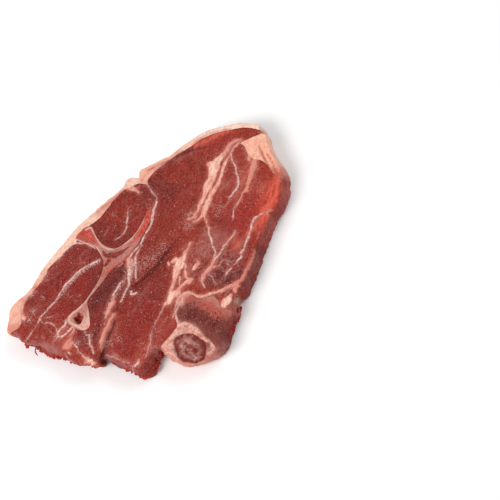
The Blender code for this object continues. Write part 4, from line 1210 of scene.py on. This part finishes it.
# %% Raw fat
def raw_fat():
    s = Shader("raw_lamb_fat")        # firm cream fat, faintly pink, with a waxy sheen
    lobes = s.add("cells", s.warped(2, 1.6), 1 / 2.2)
    along = s.streaks(15, 2.6)
    colour = s.add("bright", s.add("tone", "tint"),
                   s.add("step", s.add("noise", s.mm, 1 / 2.2, 5), 0.3, 0.7, 0.8, 0.98))
    colour = s.add("mix", s.add("step", lobes, 0.0, 0.25, 0.25, 0.0), colour, "#d08270")
    colour = s.add("mix", s.add("step", s.add("noise", along, 1 / 3.0, 5, 0.65), 0.5, 0.72, 0, 0.5), colour,
                   "#d67f6c")
    colour = s.add("mix", s.add("step", s.add("noise", s.mm, 1 / 0.8, 3), 0.6, 0.72, 0, 0.5), colour,
                   "#fbe0d2")
    red = s.add("math", 'MULTIPLY', s.add("field", "cap_red"),
                s.add("step", s.add("noise", along, 1 / 1.2, 4), 0.28, 0.55, 0.4, 1), True)
    colour = s.add("mix", s.add("share", red, 0.9), colour, "#ad3a2e")
    # dark washes on the fat: painted shade of the crack, the step and the cap's left end, and darker tone
    colour = s.add("mix", s.add("share", s.add("field", "dark"), 0.5), colour, "#8a3a33")
    colour = s.add("mix", s.add("share", s.add("field", "film"), 0.6), colour, "#a8736c")
    height = s.add("math", 'ADD', s.add("share", s.add("noise", s.mm, 1 / 1.5, 5), 0.6, False),
                   s.add("step", lobes, 0, 0.3, 0, 0.08))
    return s.finish(colour, 0.42, height, 0.15)


fat_material = raw_fat()
print(fat_material.name, "has", len(fat_material.node_tree.nodes), "nodes")

# %% [markdown]
# ### Sawn bone
# The shell is pale and dense. The inside is a sponge: a fine cell pattern whose pits are dark red.

# %% Sawn bone
def sawn_bone():
    s = Shader("sawn_lamb_bone")      # pale shell, porous red-brown core, dull
    fray = s.add("math", 'ADD', s.around(s.add("noise", s.mm, 1 / 2.0, 3), 1.0),
                 s.around(s.add("noise", s.mm, 1 / 0.7, 4, 0.7), 1.2))
    pores = s.add("cells", s.warped(1.5, 1.2), 1 / 1.2, 'F1')
    pits = s.add("step", pores, 0.26, 0.46, 1, 0)
    colour = s.add("bright", s.add("tone", "tint"),
                   s.add("step", s.add("noise", s.mm, 1 / 1.2, 5, 0.7), 0.34, 0.66, 0.64, 1.02))
    sponge = s.add("field", "sponge")
    colour = s.add("mix", s.add("share", s.add("math", 'MULTIPLY', sponge, pits), 0.85), colour, "#44110e")
    crumbs = s.add("step", s.add("noise", s.mm, 1 / 0.8, 3), 0.55, 0.7)
    colour = s.add("mix", s.add("share", s.add("math", 'MULTIPLY', sponge, crumbs), 0.5), colour, "#bb7f73")
    body = s.add("step", s.add("field", "body"), -0.03, 0.04)
    blotch = s.add("step", s.add("noise", s.mm, 1 / 4.4, 5, 0.6), 0.4, 0.62)
    blotch = s.add("math", 'MULTIPLY', blotch, s.add("step", s.add("field", "body"), 0.05, 0.5))
    wet_body = s.add("math", 'MULTIPLY', body,
                     s.add("share", s.add("step", s.add("noise", s.mm, 1 / 2.0, 4), 0.36, 0.58), 0.9))
    colour = s.add("mix", wet_body, colour, "#6f241f")
    colour = s.add("mix", s.add("share", blotch, 0.55), colour, "#cc9a91")
    body_rim = s.add("math", 'MULTIPLY', body, s.add("step", s.add("field", "body"), 0.04, 0.45, 1.0, 0.0))
    body_rim = s.add("math", 'MULTIPLY', body_rim,
                     s.add("step", s.add("noise", s.mm, 1 / 2.2, 4), 0.3, 0.6, 0.5, 1))
    colour = s.add("mix", body_rim, colour, "#6e211c")
    vein = s.add("math", 'ADD', s.add("field", "vein"), fray)
    colour = s.add("mix", s.add("step", vein, -0.4, 0.5, 0, 0.85), colour,
                   s.add("mix", s.add("step", s.add("noise", s.mm, 1 / 1.4, 4), 0.36, 0.58), "#94271e",
                         "#cf5445"))
    marrow = s.add("math", 'ADD', s.add("field", "marrow"), fray)
    colour = s.add("mix", s.add("step", marrow, -0.2, 0.4, 0, 0.95), colour,
                   s.add("mix", pits, "#87342b", "#54130f"))
    arch = s.add("math", 'ADD', s.add("field", "arch"), s.add("share", fray, 1.3, False))
    arch_colour = s.add("mix", s.add("step", s.add("noise", s.mm, 1 / 1.8, 5, 0.65), 0.4, 0.6), "#e3ac9b",
                        "#b9756a")
    colour = s.add("mix", s.add("step", arch, -0.4, 0.6, 0, 0.85), colour, arch_colour)
    shell = s.add("math", 'ADD', s.add("field", "shell"), s.add("share", fray, 0.5, False))
    colour = s.add("mix", s.add("step", shell, -0.35, 0.2, 0, 0.85), colour, "#d0a498")
    colour = s.add("mix", s.add("step", s.add("field", "hole"), -0.2, 0.3), colour,
                   s.add("mix", s.add("step", s.add("noise", s.mm, 1 / 1.6, 3), 0.4, 0.6), "#8f362d",
                         "#b65c4e"))
    height = s.add("math", 'ADD', s.add("share", s.add("noise", s.mm, 1 / 0.7, 4), 0.35, False),
                   s.add("share", s.add("math", 'MULTIPLY', sponge, pits), -0.4, False))
    return s.finish(colour, 0.5, height, 0.06)


bone_material = sawn_bone()
for obj, material in ((lean, lean_material), (fat_cap, fat_material), (corner_fat, fat_material),
                      (blade_bone, bone_material), (backbone, bone_material)):
    obj.data.materials.append(material)
print(bone_material.name, "has", len(bone_material.node_tree.nodes), "nodes")

# %% [markdown]
# ## Small things by Geometry Nodes
# Geometry Nodes build what repeats: saw crumbs strewn over the face, the fibres of the comb tendon and the
# torn shreds of the walls. Each tree is made here by hand, with named inputs for its sizes. Every tree ends
# by making its instances real and setting the material, and the result is stored as a plain mesh.

# %% A small builder for trees of nodes
class Tree(Nodes):
    """A Geometry Nodes tree that starts from the object's own geometry."""

    def __init__(self, name, **numbers):
        self.tree = bpy.data.node_groups.new(name, 'GeometryNodeTree')
        face = self.tree.interface
        face.new_socket("Geometry", in_out='INPUT', socket_type='NodeSocketGeometry')
        for title in numbers:
            face.new_socket(title.replace("_", " "), in_out='INPUT', socket_type='NodeSocketFloat')
        face.new_socket("Geometry", in_out='OUTPUT', socket_type='NodeSocketGeometry')
        self.numbers = numbers
        self.start = self.tree.nodes.new('NodeGroupInput')

    def input(self, title):
        return self.start.outputs[title]

    def run(self, obj, geometry, material, name):
        """End the tree, run it on an object's mesh and keep the outcome as a new plain mesh object."""
        real = self.add('GeometryNodeRealizeInstances', {0: geometry})
        done = self.add('GeometryNodeSetMaterial', {0: real, "Material": material})
        end = self.tree.nodes.new('NodeGroupOutput')
        self.tree.links.new(done, end.inputs[0])
        modifier = obj.modifiers.new(name, 'NODES')
        modifier.node_group = self.tree
        for item in self.tree.interface.items_tree:
            key = item.name.replace(" ", "_")
            if item.in_out == 'INPUT' and key in self.numbers:
                modifier[item.identifier] = self.numbers[key]
        graph = bpy.context.evaluated_depsgraph_get()
        mesh = bpy.data.meshes.new_from_object(obj.evaluated_get(graph))
        obj.modifiers.remove(modifier)
        mesh.name = name
        result = bpy.data.objects.new(name, mesh)
        bpy.context.scene.collection.objects.link(result)
        print(name, "has", len(mesh.polygons), "faces")
        return result


print("steps of a tree:", [name for name in vars(Tree) if not name.startswith("_")])


# %% Plain materials and helper meshes
def plain(name, colour, roughness, spread=0.12):
    """A simple material: one colour that varies a little, for small pieces."""
    s = Shader(name)
    shade = s.add("bright", (*linear(colour),),
                  s.add("step", s.add("noise", s.mm, 1 / 1.5, 3), 0.3, 0.7, 1 - spread, 1 + spread))
    return s.finish(shade, roughness, s.add("noise", s.mm, 1 / 0.8, 2), 0.1, 0.2)


def carrier(name, positions, faces=(), **fields):
    """A helper mesh in metres, given in plan millimetres, that a tree works on."""
    mesh = bpy.data.meshes.new(name)
    places = np.array(positions, float)
    places[:, :2] -= PLAN_MIDDLE
    mesh.from_pydata((places * MM).tolist(), [], [tuple(f) for f in faces])
    for field, values in fields.items():
        attribute(mesh, field, np.array(values, float))
    obj = bpy.data.objects.new(name, mesh)
    bpy.context.scene.collection.objects.link(obj)
    return obj


def drop(obj):
    bpy.data.objects.remove(obj, do_unlink=True)


crumb_stuff = plain("crumbs_of_fat_and_bone", "#cfa092", 0.6)         # pale grains that catch the light
tendon_stuff = plain("silvery_tendon", "#d3aba1", 0.38)               # pale shiny threads
shred_stuff = plain("torn_wet_tissue", "#a5352b", 0.35, spread=0.4)   # wet and bright red
print("plain materials:", crumb_stuff.name, tendon_stuff.name, shred_stuff.name)

# %% [markdown]
# ### Saw crumbs
# The saw leaves bone dust and crumbs of fat on a frozen face. They lie where the frost washes are strongest,
# and a few everywhere. Each crumb is a flattened stone of twenty faces, between 0.3 and 0.7 millimetres.

# %% Saw crumbs
def face_patch(step):
    """The upper face as a light mesh, with the share of crumbs that each point asks for."""
    grid = triangulate(ring(outline)[:-1].tolist() + lattice(step, [ring(outline)]).tolist(),
                       [(i, (i + 1) % len(outline)) for i in range(len(outline))])
    places, faces, owner = grid
    keep = near(places, ring(outline), 2)[0] > 0.8
    faces = [f for f, o in zip(faces.tolist(), owner) if o >= 0 and all(keep[f])]
    at = shaken(places, np.zeros(len(places)))
    fat_share = np.maximum(blend(-0.5, 0.5, strands(at, FAT_SEAMS)), (owner_of(places) > 0) * 0.8)
    share = 0.08 + 1.1 * wash(at, FROST) + 0.4 * wash(at, DUSTY) - 0.1 * fat_share
    share *= 2.2 * blend(-0.1, 0.45, layered(places, 7, 51)) ** 1.5 + 0.15
    height = face_height(places) + 0.05
    return carrier("crumb_ground", np.column_stack((places, height)), faces, share=np.clip(share, 0, 2))


def owner_of(places):
    owner = np.zeros(len(places), int)
    for number, (_, loop) in reversed(list(enumerate(shapes, 1))):
        owner[within(places, loop)] = number
    return owner


DUSTY = [(.8, [(-20, 10, 6), (-8, 12, 6), (6, 14, 6), (20, 14, 6)]),
         (.7, [(12, -2, 7), (24, -3, 7), (34, 0, 7)]), (.6, [(42, 10, 5)]), (.6, [(-72, 32, 6)]),
         (.5, [(-66, 16, 6)]), (.5, [(-55, -12, 5), (-40, -20, 7)]),
         (.5, [(40, 42, 12)]), (.4, [(56, 16, 8)]), (.7, [(-45, 4, 4), (-36, 8, 3)]), (.6, [(38, 22, 6)]),
         (.5, [(64, -8, 6), (74, -2, 6)]), (.6, [(-30, -28, 7)]), (.5, [(4, -18, 6)])]
ground = face_patch(1.6)
tree = Tree("strew_crumbs", crumbs_per_area=110000.0, smallest=0.00014, largest=0.00036)
density = tree.add('ShaderNodeMath', {0: tree.add('GeometryNodeInputNamedAttribute', {"Name": "share"}),
                                      1: tree.input("crumbs per area")}, operation='MULTIPLY')
points = tree.add('GeometryNodeDistributePointsOnFaces', {"Mesh": tree.input("Geometry"),
                                                          "Density": density, "Seed": 7})
crumb = tree.add('GeometryNodeMeshIcoSphere', {"Radius": 1.0, "Subdivisions": 1})
flat = tree.add('GeometryNodeTransform', {"Geometry": crumb, "Scale": (1.0, 0.75, 0.5)})
size = tree.add('FunctionNodeRandomValue', {2: tree.input("smallest"), 3: tree.input("largest"), "Seed": 3},
                out=1)
turn = tree.add('FunctionNodeRandomValue', {0: (0, 0, 0), 1: (0.5, 0.5, 6.28), "Seed": 4},
                data_type='FLOAT_VECTOR')
strewn = tree.add('GeometryNodeInstanceOnPoints', {"Points": points, "Instance": flat, "Scale": size,
                                                   "Rotation": turn})
crumbs = tree.run(ground, strewn, crumb_stuff, "saw_crumbs")
drop(ground)

# %% [markdown]
# ### Comb tendon
# The tendon of the long muscle is cut along its flat, so its fibres stand like the teeth of a comb. A chain
# of points follows the line, and a short fibre hangs from each one. A tooth is a thin six-sided cone.

# %% Comb fibres and other raised fibres
def fibre_chain(name, line, gap, lean_angle, length, seed):
    """Points along a line on the face, each with the way its fibre points and how long it is."""
    path = smooth(line, gap)
    rng = np.random.default_rng(seed)
    path = path + np.column_stack((rng.normal(0, 0.18, (len(path), 2)), np.zeros(len(path))))
    way = np.gradient(path[:, :2], axis=0)
    angle = np.arctan2(way[:, 1], way[:, 0]) + np.radians(lean_angle) + rng.normal(0, 0.22, len(path))
    height = face_height(path[:, :2]) + 0.12
    return carrier(name, np.column_stack((path[:, :2], height)), angle=angle,
                   length=length * path[:, 2] * rng.uniform(0.55, 1.25, len(path)))


def grow_fibres(chain, name, material, width):
    tree = Tree("grow_" + name, fibre_width=width)
    points = tree.add('GeometryNodeMeshToPoints', {"Mesh": tree.input("Geometry")})
    tooth = tree.add('GeometryNodeMeshCone', {"Vertices": 6, "Radius Bottom": 1.0, "Radius Top": 0.25,
                                              "Depth": 1.0})
    lying = tree.add('GeometryNodeTransform', {"Geometry": tooth, "Rotation": (0, math.pi / 2, 0)})
    angle = tree.add('GeometryNodeInputNamedAttribute', {"Name": "angle"})
    length = tree.add('GeometryNodeInputNamedAttribute', {"Name": "length"})
    turn = tree.add('ShaderNodeCombineXYZ', {"Z": angle})
    length = tree.add('ShaderNodeMath', {0: length, 1: MM}, operation='MULTIPLY')
    spread = tree.add('FunctionNodeRandomValue', {2: 0.6, 3: 1.3, "Seed": 5}, out=1)
    thick = tree.add('ShaderNodeMath', {0: tree.input("fibre width"), 1: spread}, operation='MULTIPLY')
    size = tree.add('ShaderNodeCombineXYZ', {"X": length, "Y": thick, "Z": thick})
    grown = tree.add('GeometryNodeInstanceOnPoints', {"Points": points, "Instance": lying,
                                                      "Rotation": turn, "Scale": size})
    fibres = tree.run(chain, grown, material, name)
    drop(chain)
    return fibres


comb = fibre_chain("comb_line", [(-28.5, 29.9, 1.5), (-33, 30.9, 1.7), (-40, 31.6, 1.8), (-47, 30.9, 1.9),
                                 (-53, 29.3, 1.7), (-58, 27.9, 1.3), (-63, 26.7, 0.9)], 0.42, 92, 1.0, 61)
comb_fibres = grow_fibres(comb, "comb_fibres", tendon_stuff, 0.00012)

# %% [markdown]
# ### Torn shreds
# The skins over the walls were pulled off by hand, so shreds of wet red tissue cling to the lobes and to the
# knuckle. Points are strewn on the wall beside chosen stretches of the rim, and each becomes a small lump,
# pushed out of shape by noise. One loose tag sticks out of the left wall.

# %% Torn shreds of the walls
TORN = [[(-90, 20), (-88, 14), (-83, 8), (-78, 0), (-76, -8), (-72, -14)],
        [(-60, -20), (-53, -33), (-40, -32)], [(-4, -47), (4, -43), (8, -41)]]


def shred_points(spots, per_mm, seed):
    rng = np.random.default_rng(seed)
    rim = ring(outline)[:-1]
    places, angles = [], []
    for spot in spots:
        beside = near(rim, smooth(spot, 1.0), 2.5)[0] < 2.5
        index = rng.choice(np.flatnonzero(beside), int(beside.sum() * RIM_STEP * per_mm))
        places.append(rim[index])
        angles.append(np.arctan2(*rim_normal[index].T[::-1]) + rng.normal(0, 0.5, len(index)))
    places = np.vstack(places)
    space = in_space(places, rng.uniform(0.38, 0.92, len(places)), face_height(places))
    return carrier("shred_points", space, angle=np.concatenate(angles))


points_mesh = shred_points(TORN, 1.5, 71)
tree = Tree("grow_shreds", smallest=0.0003, largest=0.0012)
points = tree.add('GeometryNodeMeshToPoints', {"Mesh": tree.input("Geometry")})
lump = tree.add('GeometryNodeMeshIcoSphere', {"Radius": 1.0, "Subdivisions": 2})
lump = tree.add('GeometryNodeTransform', {"Geometry": lump, "Scale": (1.0, 1.5, 0.7)})
angle = tree.add('GeometryNodeInputNamedAttribute', {"Name": "angle"})
tilt = tree.add('FunctionNodeRandomValue', {2: -0.6, 3: 0.6, "Seed": 8}, out=1)
turn = tree.add('ShaderNodeCombineXYZ', {"X": tilt, "Z": angle})
size = tree.add('FunctionNodeRandomValue', {2: tree.input("smallest"), 3: tree.input("largest"), "Seed": 9},
                out=1)
grown = tree.add('GeometryNodeInstanceOnPoints', {"Points": points, "Instance": lump, "Rotation": turn,
                                                  "Scale": size})
grown = tree.add('GeometryNodeRealizeInstances', {0: grown})
rough = tree.add('ShaderNodeTexNoise', {"Scale": 600.0, "Detail": 3.0}, out="Color")
rough = tree.add('ShaderNodeVectorMath', {0: rough, 1: (0.5, 0.5, 0.5)}, operation='SUBTRACT')
rough = tree.add('ShaderNodeVectorMath', {0: rough, 3: 0.003}, operation='SCALE')
grown = tree.add('GeometryNodeSetPosition', {"Geometry": grown, "Offset": rough})
shreds = tree.run(points_mesh, grown, shred_stuff, "torn_shreds")
drop(points_mesh)

# %% The loose tag
tag_rim = outline[[np.argmin(np.hypot(*(outline - (-88, 14.5)).T))]]
tag_root = in_space(tag_rim, np.array([0.4]), face_height(tag_rim))
loose = carrier("loose_tag_line",
                tag_root + [(0.5, 0.2, 0), (-0.7, -0.2, -0.2), (-1.8, -0.7, -0.4), (-2.6, -1.6, -0.6),
                            (-2.9, -2.7, -0.8)],
                angle=np.radians((200, 205, 220, 240, 262)), length=np.full(5, 1.9))
loose_tag = grow_fibres(loose, "loose_tag", shred_stuff, 0.00045)
small_pieces = [(crumbs, "bone"), (comb_fibres, "lean"), (shreds, "lean"), (loose_tag, "lean")]

# %% [markdown]
# ## Hand the pieces over
# Each piece takes the place of one node of the frame.

# %% Replace the plain solids
for obj, node, slot in ((lean, "lean", "lean"), (fat_cap, "fat_cap", "fat"),
                        (corner_fat, "corner_fat", "fat"), (blade_bone, "blade_bone", "bone"),
                        (backbone, "backbone", "bone")):
    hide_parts(node)
    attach(obj, "root")
for obj, slot in small_pieces:
    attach(obj, "root")
print("pieces handed over:", 5 + len(small_pieces))

# %% [markdown]
# ## Table and light
# A plain white table. A broad soft light hangs to the left, a weaker one to the right, and the room is pale.
# No light stands where the wet face would mirror it into the lens.

# %% Table and light
bpy.ops.mesh.primitive_plane_add(size=4)
floor = bpy.context.object
floor.name = "table"
floor_shader = Shader("matt_white_table")   # plain and pale, so only the chop has colour
floor.data.materials.append(floor_shader.finish((0.9, 0.9, 0.9, 1), 0.8, 0.0, 0.0))


def soft_light(name, place, size, power, look_at=(0, 0, 0.01)):
    light = bpy.data.lights.new(name, 'AREA')
    light.shape, light.size, light.energy = 'DISK', size, power
    obj = bpy.data.objects.new(name, light)
    obj.location = place
    obj.rotation_euler = (Vector(look_at) - Vector(place)).to_track_quat('-Z', 'Y').to_euler()
    bpy.context.scene.collection.objects.link(obj)
    return obj


soft_light("key_light", (-0.8, -0.05, 0.8), 0.5, 10)
soft_light("fill_light", (0.7, 0.1, 0.9), 0.9, 4)
world = bpy.data.worlds.new("pale_room")
bpy.context.scene.world = world
world.use_nodes = True
world.node_tree.nodes["Background"].inputs["Color"].default_value = (1, 1, 1, 1)
world.node_tree.nodes["Background"].inputs["Strength"].default_value = 0.5
bpy.context.scene.view_settings.view_transform = 'Standard'
